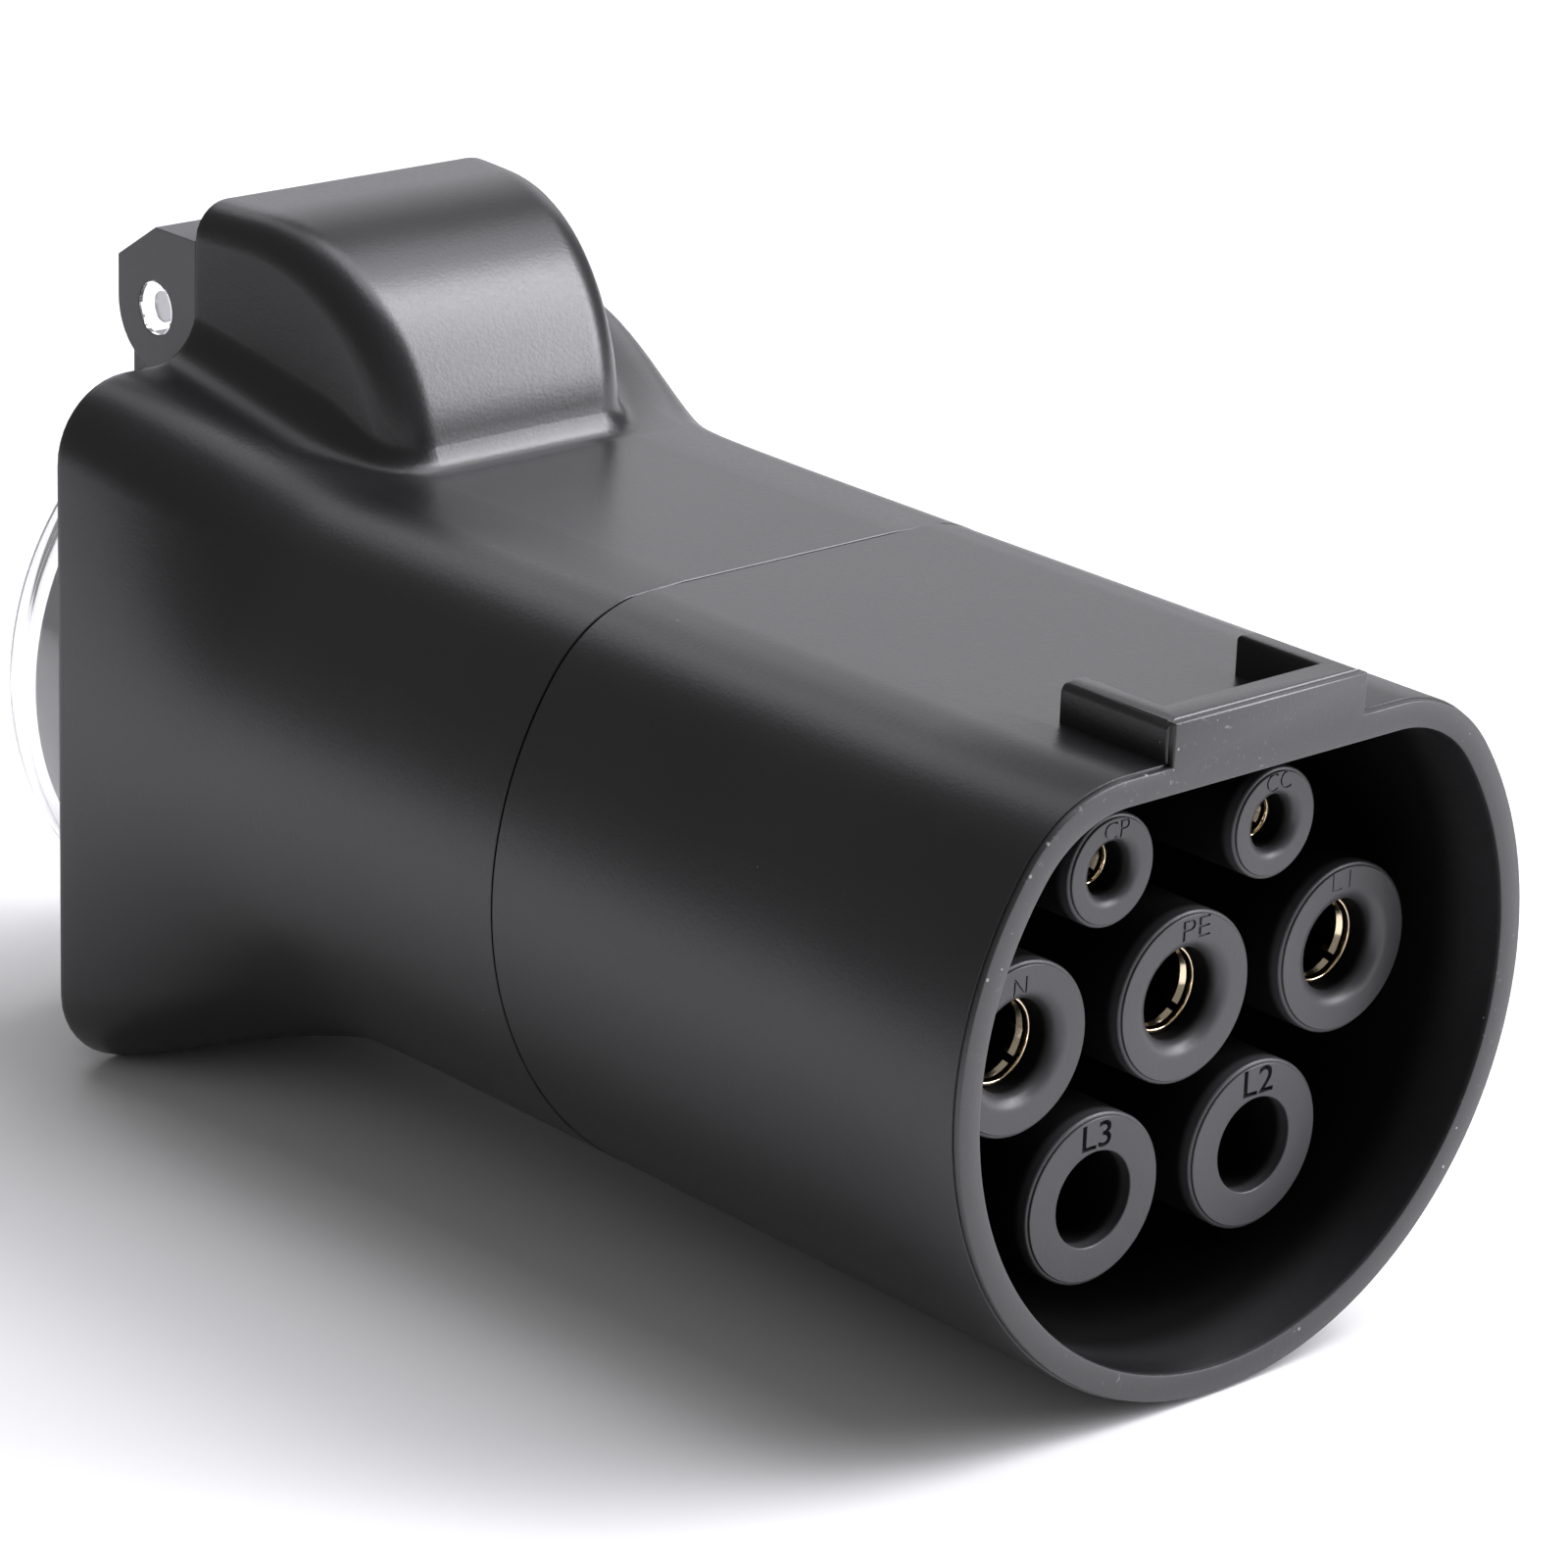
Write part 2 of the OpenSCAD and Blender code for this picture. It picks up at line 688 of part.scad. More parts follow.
// Stepped bore of a live tower: rounded mouth, sleeve bore and shoulder seat
module sleeve_bore(at, mouth, rounding, out) {
    rod_y(at, tower_recess - 1, mouth, mouth_len + 2);
    turned_y(at, tower_recess)
        difference() {
            translate([0, -1])
                square([mouth + rounding, rounding + 1]);
            translate([mouth + rounding, rounding])
                circle(r = rounding);
        }
    rod_y(at, tower_recess + mouth_len, out + slip, carrier_back - tower_recess - mouth_len + 1);
    rod_y(at, carrier_back - shoulder_len, out + shoulder_w + slip, shoulder_len + 1);
}

// Slotted sleeve with its ring groove, shoulder and wire barrel
module sleeve(at, in, out, wire_bore) {
    difference() {
        union() {
            rod_y(at, sleeve_front, out, carrier_back - sleeve_front);
            rod_y(at, carrier_back - shoulder_len, out + shoulder_w, shoulder_len);
            rod_y(at, carrier_back - eps, wire_bore + barrel_t, barrel_len + eps);
        }
        rod_y(at, sleeve_front - 1, in, sleeve_bore_len + 1);
        turned_y(at, sleeve_front)
            polygon([[0, -0.1], [in + 0.5, -0.1], [in, 0.5], [0, 0.5]]);
        turned_y(at, ring_y())
            translate([out - ring_groove, 0])
                square([ring_groove + 1, ring_w]);
        for (turn = [0, 90])
            translate([at[0], sleeve_front + sleeve_slot_len / 2 - 0.5, at[1]])
                rotate([0, 45 + turn, 0])
                    cube([2 * out + 2, sleeve_slot_len + 1, sleeve_slot_share * in], center = true);
        rod_y(at, barrel_end - wire_grip, wire_bore, wire_grip + 1);
    }
}

function ring_y() = sleeve_front + sleeve_slot_len * 0.35;

module power_contact(at) {
    color("#c9a66b")
        place()
            sleeve(at, power_in, power_out, mains_bore);
}

module pilot_contact(at) {
    color("#c9a66b")
        place()
            sleeve(at, pilot_in, pilot_out, pilot_bore);
}

module contact_n() { power_contact(n_at); }
module contact_pe() { power_contact(pe_at); }
module contact_l1() { power_contact(l1_at); }
module contact_cp() { pilot_contact(cp_at); }
module contact_cc() { pilot_contact(cc_at); }

// Spring rings in the sleeves' grooves
module spring_rings(places, out) {
    for (at = places)
        turned_y(at, ring_y())
            translate([out - ring_groove + slip / 2, slip])
                square([ring_groove - slip, ring_w - 2 * slip]);
}

module power_spring_rings() {
    color("silver")
        place()
            spring_rings(POWER, power_out);
}

module pilot_spring_rings() {
    color("silver")
        place()
            spring_rings(PILOT, pilot_out);
}

// Retainer: clamps the sleeves' shoulders in the carrier
module contact_retainer() {
    color("#4a4a4c")
        place()
            difference() {
                along_y(carrier_back, retainer_t)
                    nose_outline(wall + retainer_margin);
                for (at = POWER)
                    rod_y(at, carrier_back - 1, mains_bore + barrel_t + slip, retainer_t + 2);
                for (at = PILOT)
                    rod_y(at, carrier_back - 1, pilot_bore + barrel_t + slip, retainer_t + 2);
                for (at = RETAINER_SCREWS)
                    rod_y(at, carrier_back - 1, retainer_screw_r + 0.2, retainer_t + 2);
            }
}

module retainer_screws() {
    color("silver")
        place()
            for (at = RETAINER_SCREWS)
                screw_y(at, retainer_back, retainer_screw_r, retainer_t + carrier_t - 1.5,
                        retainer_screw_r * 2, retainer_screw_r * 1.3);
}

// Rubber ring between the spigot's end and the rear housing's shoulder
module seam_seal() {
    color("#1c1c1c")
        place()
            difference() {
                along_y(spigot_end, seal_t)
                    nose_outline(spigot_inset + 0.1);
                along_y(spigot_end - 1, seal_t + 2)
                    nose_outline(wall);
            }
}

// Outer skin of the rear housing: neck, flare and hump in one loft
module rear_skin() {
    rings = [for (y = STATIONS) full_outline(y)];
    n = len(rings[0]);
    last = len(rings) - 1;
    polyhedron(
        points = concat([for (ring = rings) each ring], [[0, STATIONS[0], 0], [0, STATIONS[last], 0]]),
        faces = concat(
            [for (i = [0:n - 1]) [(last + 1) * n, i, (i + 1) % n]],
            [for (i = [0:n - 1]) [(last + 1) * n + 1, last * n + (i + 1) % n, last * n + i]],
            [for (k = [0:last - 1], i = [0:n - 1])
                [k * n + i, k * n + n + i, k * n + (i + 1) % n]],
            [for (k = [0:last - 1], i = [0:n - 1])
                [k * n + (i + 1) % n, k * n + n + i, k * n + n + (i + 1) % n]]
        ),
        convexity = 6
    );
}

// Rear housing: neck, flare and hump around one hollow
module rear_housing() {
    color("#2b2b2d")
        place()
            difference() {
                rear_skin();
                rear_hollow();
            }
}

// All that is open in the rear housing, around its lugs and posts
module rear_hollow() {
    cave_r = hump_r - wall;
    cave_x = hump_front_x - wall;
    difference() {
        union() {
            along_y(seam_rear - 1, shoulder_y - seam_rear + 1)
                nose_outline(spigot_inset - 2 * slip);
            along_y(shoulder_y - eps, seat_y - shoulder_y)
                nose_outline(wall);
            rod_y([0, outlet_z], insert_front - 0.5, outlet_r + outlet_gap, rear_y);
            rod_y([0, outlet_z], seat_y, outlet_flange_r + 0.2, rear_y);
            intersection() {
                rod_x(-cave_x, hump_y, hump_z, cave_r, 2 * cave_x);
                translate([-rim_r, 0, 0])
                    cube([2 * rim_r, seat_y, 2 * rear_y]);
            }
            for (at = PLATE_SCREWS)
                rod_y(at, rear_y - plate_hole_depth, plate_screw_r + slip, plate_hole_depth + 1);
            for (side = [-1, 1])
                rod_y([side * rivet_x, hinge_z], seat_y - 1, rivet_r + slip, outlet_seat + 2);
        }
        for (at = LUGS)
            difference() {
                intersection() {
                    rod_y(at, spigot_end, lug_r, lug_len);
                    union() {
                        along_y(spigot_end - 1, seal_t + 1 + eps)
                            nose_outline(wall + slip);
                        along_y(shoulder_y, lug_len)
                            nose_outline(wall - 1);
                    }
                }
                rod_y(at, spigot_end - 1, housing_screw_r + 0.2, lug_len + 2);
            }
        board_posts();
    }
}

// Two posts under the hump's roof that carry the coding board
module board_posts() {
    for (at = BOARD_POSTS) {
        reach = hump_z + sqrt(pow(hump_r - wall / 2, 2) - pow(hump_y - at[1], 2)) - board_z;
        difference() {
            rod_z(at[0], at[1], board_z + slip, post_r, reach);
            rod_z(at[0], at[1], board_z - 1, board_screw_r + slip, post_hole + 1);
        }
    }
}

module housing_screws() {
    color("silver")
        place()
            for (at = LUGS)
                screw_y(at, spigot_end + lug_len, housing_screw_r, lug_len + 6, housing_screw_r * 1.9,
                        housing_screw_r * 1.3);
}

// Board in the hump with the two coding resistors
module coding_board() {
    color("darkgreen")
        place()
            difference() {
                translate([-board_w / 2, board_y, board_z - board_t])
                    cube([board_w, board_l, board_t]);
                for (at = BOARD_POSTS)
                    rod_z(at[0], at[1], board_z - board_t - 1, board_screw_r + 0.2, board_t + 2);
            }
}

module coding_resistors() {
    color("tan")
        place()
            for (side = [0, 1])
                rod_x(-board_w * 0.15, board_y + 2 * resistor_r + side * (board_l - 4 * resistor_r),
                      board_z - board_t - resistor_r, resistor_r, board_w * 0.3);
}

module board_screws() {
    color("silver")
        place()
            for (at = BOARD_POSTS) {
                rod_z(at[0], at[1], board_z - board_t - eps, board_screw_r, board_t + post_hole - 1);
                rod_z(at[0], at[1], board_z - board_t - board_screw_r * 1.5, board_screw_r * 2,
                      board_screw_r * 1.5);
            }
}

// Points of a path that eases sideways from one control point to the next
function eased(ends, steps) = concat(
    [for (k = [0:len(ends) - 2], i = [0:steps - 1])
        let (t = i / steps, ease = t * t * (3 - 2 * t), a = ends[k], b = ends[k + 1])
        [lerp(a[0], b[0], ease), lerp(a[1], b[1], t), lerp(a[2], b[2], ease)]],
    [ends[len(ends) - 1]]
);

// Lead through the control points [x, y, z], with round sections across y
module lead(ends, r) {
    sides = 10;
    path = eased(ends, 6);
    n = len(path);
    polyhedron(
        points = [for (p = path, k = [0:sides - 1])
            [p[0] + r * cos(k * 360 / sides), p[1], p[2] + r * sin(k * 360 / sides)]],
        faces = concat(
            [[for (k = [0:sides - 1]) k]],
            [[for (k = [sides - 1:-1:0]) (n - 1) * sides + k]],
            [for (i = [0:n - 2], k = [0:sides - 1])
                [i * sides + k, i * sides + sides + k, i * sides + (k + 1) % sides]],
            [for (i = [0:n - 2], k = [0:sides - 1])
                [i * sides + (k + 1) % sides, i * sides + sides + k, i * sides + sides + (k + 1) % sides]]
        ),
        convexity = 4
    );
}

module mains_lead(colour, from, to) {
    color(colour)
        place()
            lead([[from[0], barrel_end - wire_grip + 0.5, from[1]], [from[0], barrel_end, from[1]],
                  [to[0], terminal_y, to[1]], [to[0], terminal_y + wire_grip - 0.5, to[1]]], mains_lead_r);
}

module lead_neutral() { mains_lead("royalblue", n_at, [-pin_x, outlet_z]); }
module lead_earth() { mains_lead("yellowgreen", pe_at, [0, outlet_z]); }
module lead_line() { mains_lead("saddlebrown", l1_at, [pin_x, outlet_z]); }

// Pilot leads pass under the neck's roof and end on pads under the board
module pilot_lead(colour, from, side) {
    pad_x = side * lead_pad_x;
    pad_z = board_z - board_t - pilot_lead_r;
    roof_z = flat_z - wall - pilot_lead_r - 1;
    color(colour)
        place()
            lead([[from[0], barrel_end - wire_grip + 0.5, from[1]], [from[0], barrel_end, from[1]],
                  [pad_x, hump_front_y + 1.5, roof_z], [pad_x, board_y + 1, pad_z],
                  [pad_x, board_y + 3, pad_z]], pilot_lead_r);
}

module lead_cp() { pilot_lead("orange", cp_at, -1); }
module lead_cc() { pilot_lead("white", cc_at, 1); }

// Contact block: carries the outlet's contacts behind the insert, with two
// notches in its flange where the pilot leads pass
module contact_block() {
    color("#3c3c3e")
        place()
            difference() {
                union() {
                    rod_y([0, outlet_z], block_front, block_r, block_back - block_front + 1);
                    rod_y([0, outlet_z], block_back, outlet_r - 0.2, block_flange_t);
                    for (side = [-1, 1])
                        rod_y([side * pin_x, outlet_z], block_back, sleeve_out + 1.8,
                              contact_front - block_back);
                }
                for (side = [-1, 1])
                    rod_y([side * pin_x, outlet_z], block_front - 1, sleeve_out + slip, rear_y);
                rod_y([0, outlet_z], block_front - 1, earth_stem_r + slip, rear_y);
                for (at = BLOCK_SCREWS)
                    rod_y(at, block_front - 1, block_screw_r + 0.2, rear_y);
                for (side = [-1, 1])
                    translate([side * lead_pad_x - pilot_lead_r - 0.4, block_back - 1, lead_notch_z])
                        cube([2 * pilot_lead_r + 0.8, block_flange_t + 2, outlet_r]);
            }
}

module block_screws() {
    shank = insert_front - block_front + chamber_depth;
    color("silver")
        place()
            for (at = BLOCK_SCREWS) {
                rod_y(at, block_front - eps, block_screw_r, shank);
                rod_y(at, block_front - block_screw_r * 1.3, block_screw_r * 2, block_screw_r * 1.3);
            }
}

// Outlet contact: split tube for the pin and a wire barrel in front of it
module outlet_contact(side) {
    at = [side * pin_x, outlet_z];
    color("#c9a66b")
        place()
            difference() {
                union() {
                    rod_y(at, block_front - eps, sleeve_out, contact_front - block_front);
                    rod_y(at, terminal_y, terminal_r, block_front - terminal_y);
                }
                rod_y(at, block_front + 1, sleeve_in, rear_y);
                translate([at[0], contact_front, at[1]])
                    cube([sleeve_slot_share * sleeve_in, pin_len * 1.1, 3 * sleeve_out], center = true);
                rod_y(at, terminal_y - 1, mains_bore, wire_grip + 1);
                rod_z(at[0], terminal_y + wire_grip / 2, at[1], terminal_screw_r + slip, 2 * terminal_r);
            }
}

module outlet_contact_neutral() { outlet_contact(-1); }
module outlet_contact_line() { outlet_contact(1); }

// Earth strap: wire barrel, stem, cross bar and the two side clips
module earth_strap() {
    clip_end = outlet_face - recess_depth * 0.3;
    color("#c9a66b")
        place()
            difference() {
                union() {
                    rod_y([0, outlet_z], terminal_y, terminal_r, block_front - terminal_y);
                    rod_y([0, outlet_z], block_front - eps, earth_stem_r,
                          earth_bar_y - block_front + earth_t);
                    translate([-earth_w / 2, earth_bar_y, outlet_z - earth_r])
                        cube([earth_w, earth_t, 2 * earth_r]);
                    for (side = [-1, 1])
                        translate([-earth_w / 2, earth_bar_y,
                                   outlet_z + side * (earth_r - earth_t / 2) - earth_t / 2])
                            cube([earth_w, clip_end - earth_bar_y, earth_t]);
                }
                rod_y([0, outlet_z], terminal_y - 1, mains_bore, wire_grip + 1);
                rod_z(0, terminal_y + wire_grip / 2, outlet_z, terminal_screw_r + slip, 2 * terminal_r);
            }
}

module terminal_screws() {
    color("silver")
        place()
            for (x = [-pin_x, 0, pin_x]) {
                rod_z(x, terminal_y + wire_grip / 2, outlet_z + mains_lead_r + 0.2, terminal_screw_r,
                      terminal_r - mains_lead_r);
                rod_z(x, terminal_y + wire_grip / 2, outlet_z + terminal_r, terminal_screw_r * 1.7, 1.4);
            }
}

// Insert: grey round body with the plug recess
module outlet_insert() {
    axis = [0, outlet_z];
    color("#9a9a9e")
        place()
            difference() {
                union() {
                    turned_y(axis, 0)
                        insert_section();
                    for (at = BLOCK_SCREWS)
                        rod_y(at, insert_front, block_screw_r + 1.4, chamber_depth + 1);
                }
                difference() {
                    rod_y(axis, recess_y, recess_r, recess_depth + 1);
                    for (side = [-1, 1])
                        translate([side * recess_r, recess_y, outlet_z])
                            cube([2 * guide_h, 2 * recess_depth - 4, guide_w], center = true);
                }
                for (side = [-1, 1]) {
                    rod_y([side * pin_x, outlet_z], chamber_back - 1, entry_r, recess_floor + 2);
                    translate([0, chamber_back, outlet_z + side * (earth_r - earth_t / 2)])
                        cube([earth_w + 0.3, 4 * recess_floor, earth_t + 0.3], center = true);
                }
                for (at = BLOCK_SCREWS)
                    rod_y(at, insert_front - 1, block_screw_r + slip, chamber_depth + 2);
            }
}

// Half section of the insert, radius against distance from the rim
module insert_section() {
    edge = 1;
    difference() {
        union() {
            translate([0, insert_front])
                square([outlet_r, outlet_face - insert_front - edge]);
            translate([0, insert_front])
                square([outlet_r - edge, outlet_face - insert_front]);
            translate([outlet_r - edge, outlet_face - edge])
                circle(r = edge);
            translate([0, seat_y])
                square([outlet_flange_r, plate_y - seat_y]);
        }
        translate([-1, insert_front - 1])
            square([recess_r + 1.2, chamber_depth + 1]);
        translate([-2 * edge, 0])
            square([2 * edge, 2 * rear_y]);
    }
}

// Rubber gasket between the rear face and the plate
module plate_gasket() {
    color("#1c1c1c")
        place()
            difference() {
                along_y(rear_y, gasket_t)
                    rounded_square(plate_w - 0.6, plate_r - 0.3, outlet_z);
                rod_y([0, outlet_z], rear_y - 1, outlet_flange_r + 0.1, gasket_t + 2);
                for (at = PLATE_SCREWS)
                    rod_y(at, rear_y - 1, plate_screw_r + 0.2, gasket_t + 2);
            }
}

// Square plate that clamps the insert
module outlet_plate() {
    color("#2b2b2d")
        place()
            difference() {
                along_y(plate_y, plate_t)
                    rounded_square(plate_w, plate_r, outlet_z);
                rod_y([0, outlet_z], plate_y - 1, outlet_r + 2 * slip, plate_t + 2);
                for (at = PLATE_SCREWS) {
                    rod_y(at, plate_y - 1, plate_screw_r + 0.2, plate_t + 2);
                    rod_y(at, plate_back - plate_screw_r, plate_screw_r * 2, plate_t);
                }
            }
}

module plate_screws() {
    color("silver")
        place()
            for (at = PLATE_SCREWS)
                screw_y(at, plate_back - plate_screw_r, plate_screw_r,
                        plate_t + gasket_t + plate_hole_depth - plate_screw_r - 1, plate_screw_r * 1.9,
                        plate_screw_r * 0.8);
}

// Hinge bracket: back plate, top web and two round ears, pressed from sheet
module hinge_bracket() {
    top = hinge_z + ear_top;
    low = hinge_z - ear_r + 0.4;
    color("#2b2b2d")
        place()
            difference() {
                union() {
                    translate([-ear_x, rear_y, low])
                        cube([2 * ear_x, bracket_t, top - low]);
                    translate([-ear_x, rear_y, top - bracket_t])
                        cube([2 * ear_x, hinge_back, bracket_t]);
                    for (side = [-1, 1])
                        along_x(side > 0 ? ear_x - bracket_t : -ear_x, bracket_t)
                            ear_outline(top);
                }
                rod_x(-ear_x - 1, hinge_y, hinge_z, hinge_hole_d / 2, 2 * ear_x + 2);
                for (side = [-1, 1])
                    rod_y([side * rivet_x, hinge_z], rear_y - 1, rivet_r + slip, bracket_t + 2);
            }
}

// Ear: round end below, flat top with a slope at the back
module ear_outline(top) {
    translate([hinge_y, hinge_z])
        circle(r = ear_r);
    polygon([[hinge_y - hinge_back, hinge_z], [hinge_y - hinge_back, top], [hinge_y, top],
             [hinge_y + ear_r, top - ear_slope], [hinge_y + ear_r, hinge_z]]);
}

module bracket_rivets() {
    color("#3a3a3c")
        place()
            for (side = [-1, 1]) {
                rod_y([side * rivet_x, hinge_z], seat_y - rivet_head_t, rivet_r,
                      outlet_seat + bracket_t + rivet_head_t);
                rod_y([side * rivet_x, hinge_z], rear_y + bracket_t, rivet_r * 1.7, rivet_head_t);
                rod_y([side * rivet_x, hinge_z], seat_y - rivet_head_t, rivet_r * 1.5, rivet_head_t);
            }
}

// Half section of the lid: skirt, rounded edge and shallow crown
module lid_section() {
    edge = [for (a = [0:15:90])
        [lid_r - lid_edge_r * (1 - cos(a)), lid_end_y - lid_edge_r * (1 - sin(a))]];
    inner_r = lid_edge_r - lid_t;
    inner_edge = [for (a = [90:-15:0])
        [lid_r - lid_t - inner_r * (1 - cos(a)), lid_end_y - lid_t - inner_r * (1 - sin(a))]];
    flat = lid_r - lid_edge_r;
    crown = [for (i = [1:5]) let (x = flat * (1 - i / 5))
        [x, lid_end_y + lid_crown * (1 - pow(x / flat, 2))]];
    inner_crown = [for (i = [5:-1:1]) let (x = flat * (1 - i / 5))
        [x, lid_end_y - lid_t + lid_crown * (1 - pow(x / flat, 2))]];
    polygon(concat([[lid_r, lid_rim_y]], edge, crown, inner_crown, inner_edge, [[lid_r - lid_t, lid_rim_y]]));
}

// Clear lid: turned shell, two arms with their pins, cross web and finger tab
module lid() {
    inner = lid_r - lid_t;
    foot_z = outlet_z + lid_r * 0.8;
    web_top = hinge_z - rod_r - wire_r - 1.5;
    color("#e6eef0", 0.4)
        place()
            difference() {
                union() {
                    turned_y([0, outlet_z], 0)
                        lid_section();
                    difference() {
                        union() {
                            for (side = [-1, 1])
                                lid_arm(side > 0 ? arm_out - arm_t : -arm_out, foot_z);
                            translate([-arm_out, web_y, foot_z - 2])
                                cube([2 * arm_out, web_t, web_top - foot_z + 2]);
                            translate([-tab_w / 2, lid_rim_y, outlet_z - lid_r - tab_h])
                                cube([tab_w, tab_t, tab_h + lid_t - 0.3]);
                        }
                        rod_y([0, outlet_z], lid_rim_y - 1, inner + lid_t / 2, lid_depth);
                    }
                    rod_x(-ear_x, hinge_y, hinge_z, pivot_r, ear_x - arm_out + arm_t);
                    rod_x(arm_out - arm_t, hinge_y, hinge_z, pivot_r, ear_x - arm_out + arm_t);
                }
                rod_x(arm_t * 0.5 - arm_out, hinge_y, hinge_z, rod_r + slip, 2 * arm_out - arm_t);
            }
}

// One arm: a round eye on the hinge line and a leg down to the skirt
module lid_arm(x, foot_z) {
    front = lid_rim_y + 2 * slip;
    rod_x(x, hinge_y, hinge_z, barrel_r, arm_t);
    along_x(x, arm_t)
        polygon([[hinge_y - barrel_r, hinge_z], [front, outlet_z + plate_w / 2 + 0.4], [front, foot_z - 2],
                 [web_y + web_t, foot_z - 2], [hinge_y + barrel_r, hinge_z]]);
}

module lid_seal() {
    color("#d8d8d8")
        place()
            difference() {
                rod_y([0, outlet_z], plate_back, lid_r - 0.1, lid_seal_t);
                rod_y([0, outlet_z], plate_back - 1, lid_r - lid_t + 0.1, lid_seal_t + 2);
            }
}

module spring_rod() {
    color("silver")
        place()
            rod_x(arm_t * 0.5 - arm_out + slip, hinge_y, hinge_z, rod_r, 2 * arm_out - arm_t - 2 * slip);
}

// Path of the lid spring: fixed leg, coil around the hinge line, closing leg
coil_turns = 6;
coil_pitch = 2 * wire_r + 0.15;
coil_x = -coil_turns * coil_pitch / 2;
coil_path = concat(
    [[coil_x, rear_y + bracket_t + wire_r + slip, hinge_z - 2 * coil_r]],
    [for (i = [0:12 * coil_turns + 6])
        [coil_x + i / 12 * coil_pitch, hinge_y - coil_r * cos(i * 30), hinge_z + coil_r * sin(i * 30)]],
    [for (drop = [0.85, 2.75])
        [coil_x + (coil_turns + 0.5) * coil_pitch, web_y + web_t + wire_r + 2 * slip,
         hinge_z - drop * coil_r]]
);

module lid_spring() {
    n = len(coil_path);
    sides = 6;
    color("silver")
        place()
            polyhedron(
                points = [for (i = [0:n - 1])
                    let (ahead = coil_path[min(i + 1, n - 1)] - coil_path[max(i - 1, 0)])
                    let (t = ahead / norm(ahead), e = [1, 0, 0] - t * t[0])
                    let (u = e / norm(e), v = cross(t, u))
                    each [for (k = [0:sides - 1])
                        coil_path[i] + wire_r * (u * cos(k * 60) + v * sin(k * 60))]],
                faces = concat(
                    [[for (k = [sides - 1:-1:0]) k]],
                    [[for (k = [0:sides - 1]) (n - 1) * sides + k]],
                    [for (i = [0:n - 2], k = [0:sides - 1])
                        [i * sides + k, i * sides + (k + 1) % sides, i * sides + sides + k]],
                    [for (i = [0:n - 2], k = [0:sides - 1])
                        [i * sides + (k + 1) % sides, i * sides + sides + (k + 1) % sides,
                         i * sides + sides + k]]
                ),
                convexity = 10
            );
}

front_housing();
contact_carrier();
contact_n();
contact_pe();
contact_l1();
contact_cp();
contact_cc();
power_spring_rings();
pilot_spring_rings();
contact_retainer();
retainer_screws();
seam_seal();
rear_housing();
housing_screws();
coding_board();
coding_resistors();
board_screws();
lead_neutral();
lead_earth();
lead_line();
lead_cp();
lead_cc();
contact_block();
block_screws();
outlet_contact_neutral();
outlet_contact_line();
earth_strap();
terminal_screws();
outlet_insert();
plate_gasket();
outlet_plate();
plate_screws();
hinge_bracket();
bracket_rivets();
lid();
lid_seal();
spring_rod();
lid_spring();
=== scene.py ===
"""Dresses the vehicle to load adapter: nose, towers, housings, hinge, lid and outlet."""

import json
import logging
import math
from dataclasses import dataclass, field
from enum import Enum
from typing import Callable, Sequence

import bpy
from mathutils import Matrix, Quaternion, Vector

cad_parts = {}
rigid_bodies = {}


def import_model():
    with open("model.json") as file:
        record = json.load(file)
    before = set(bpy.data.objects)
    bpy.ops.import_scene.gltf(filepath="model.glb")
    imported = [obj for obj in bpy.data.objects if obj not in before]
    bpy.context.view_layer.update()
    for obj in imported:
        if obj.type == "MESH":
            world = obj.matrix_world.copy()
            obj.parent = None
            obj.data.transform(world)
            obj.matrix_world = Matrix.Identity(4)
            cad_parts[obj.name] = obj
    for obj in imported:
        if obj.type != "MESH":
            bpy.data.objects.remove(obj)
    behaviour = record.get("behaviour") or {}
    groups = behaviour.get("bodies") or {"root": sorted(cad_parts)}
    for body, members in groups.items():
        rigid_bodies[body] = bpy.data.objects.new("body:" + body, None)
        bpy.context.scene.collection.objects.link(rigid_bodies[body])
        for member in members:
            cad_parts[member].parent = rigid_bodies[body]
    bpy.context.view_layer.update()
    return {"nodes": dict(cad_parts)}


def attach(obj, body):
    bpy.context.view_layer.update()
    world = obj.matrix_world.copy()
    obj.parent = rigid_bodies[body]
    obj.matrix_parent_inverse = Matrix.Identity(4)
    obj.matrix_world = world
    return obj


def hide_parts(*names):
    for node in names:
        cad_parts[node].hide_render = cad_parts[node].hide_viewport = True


log = logging.getLogger("adapter")
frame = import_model()

Point = tuple[float, float, float]
Flat = tuple[float, float]

MM = 0.001
LENGTH = 119.5  # of the whole adapter, in millimetres
DROP = 31.0  # from the middle contact to the lowest point, in millimetres
SEWN = 2e-6  # distance in metres under which points of a copied node become one
POWER_MOUTH = 3.45
PILOT_MOUTH = 2.0
LATHE_STEPS = 96


def at(x: float, y: float, z: float) -> Vector:
    """Scene point for millimetres across, back from the rim and over the centre contact."""
    return Vector((x * MM, (y - LENGTH / 2) * MM, (z + DROP) * MM))


def lerp(a: float, b: float, t: float) -> float:
    """Value between a and b at share t."""
    return a + (b - a) * t


def clamp(value: float, low: float, high: float) -> float:
    """Value held between low and high."""
    return max(low, min(high, value))


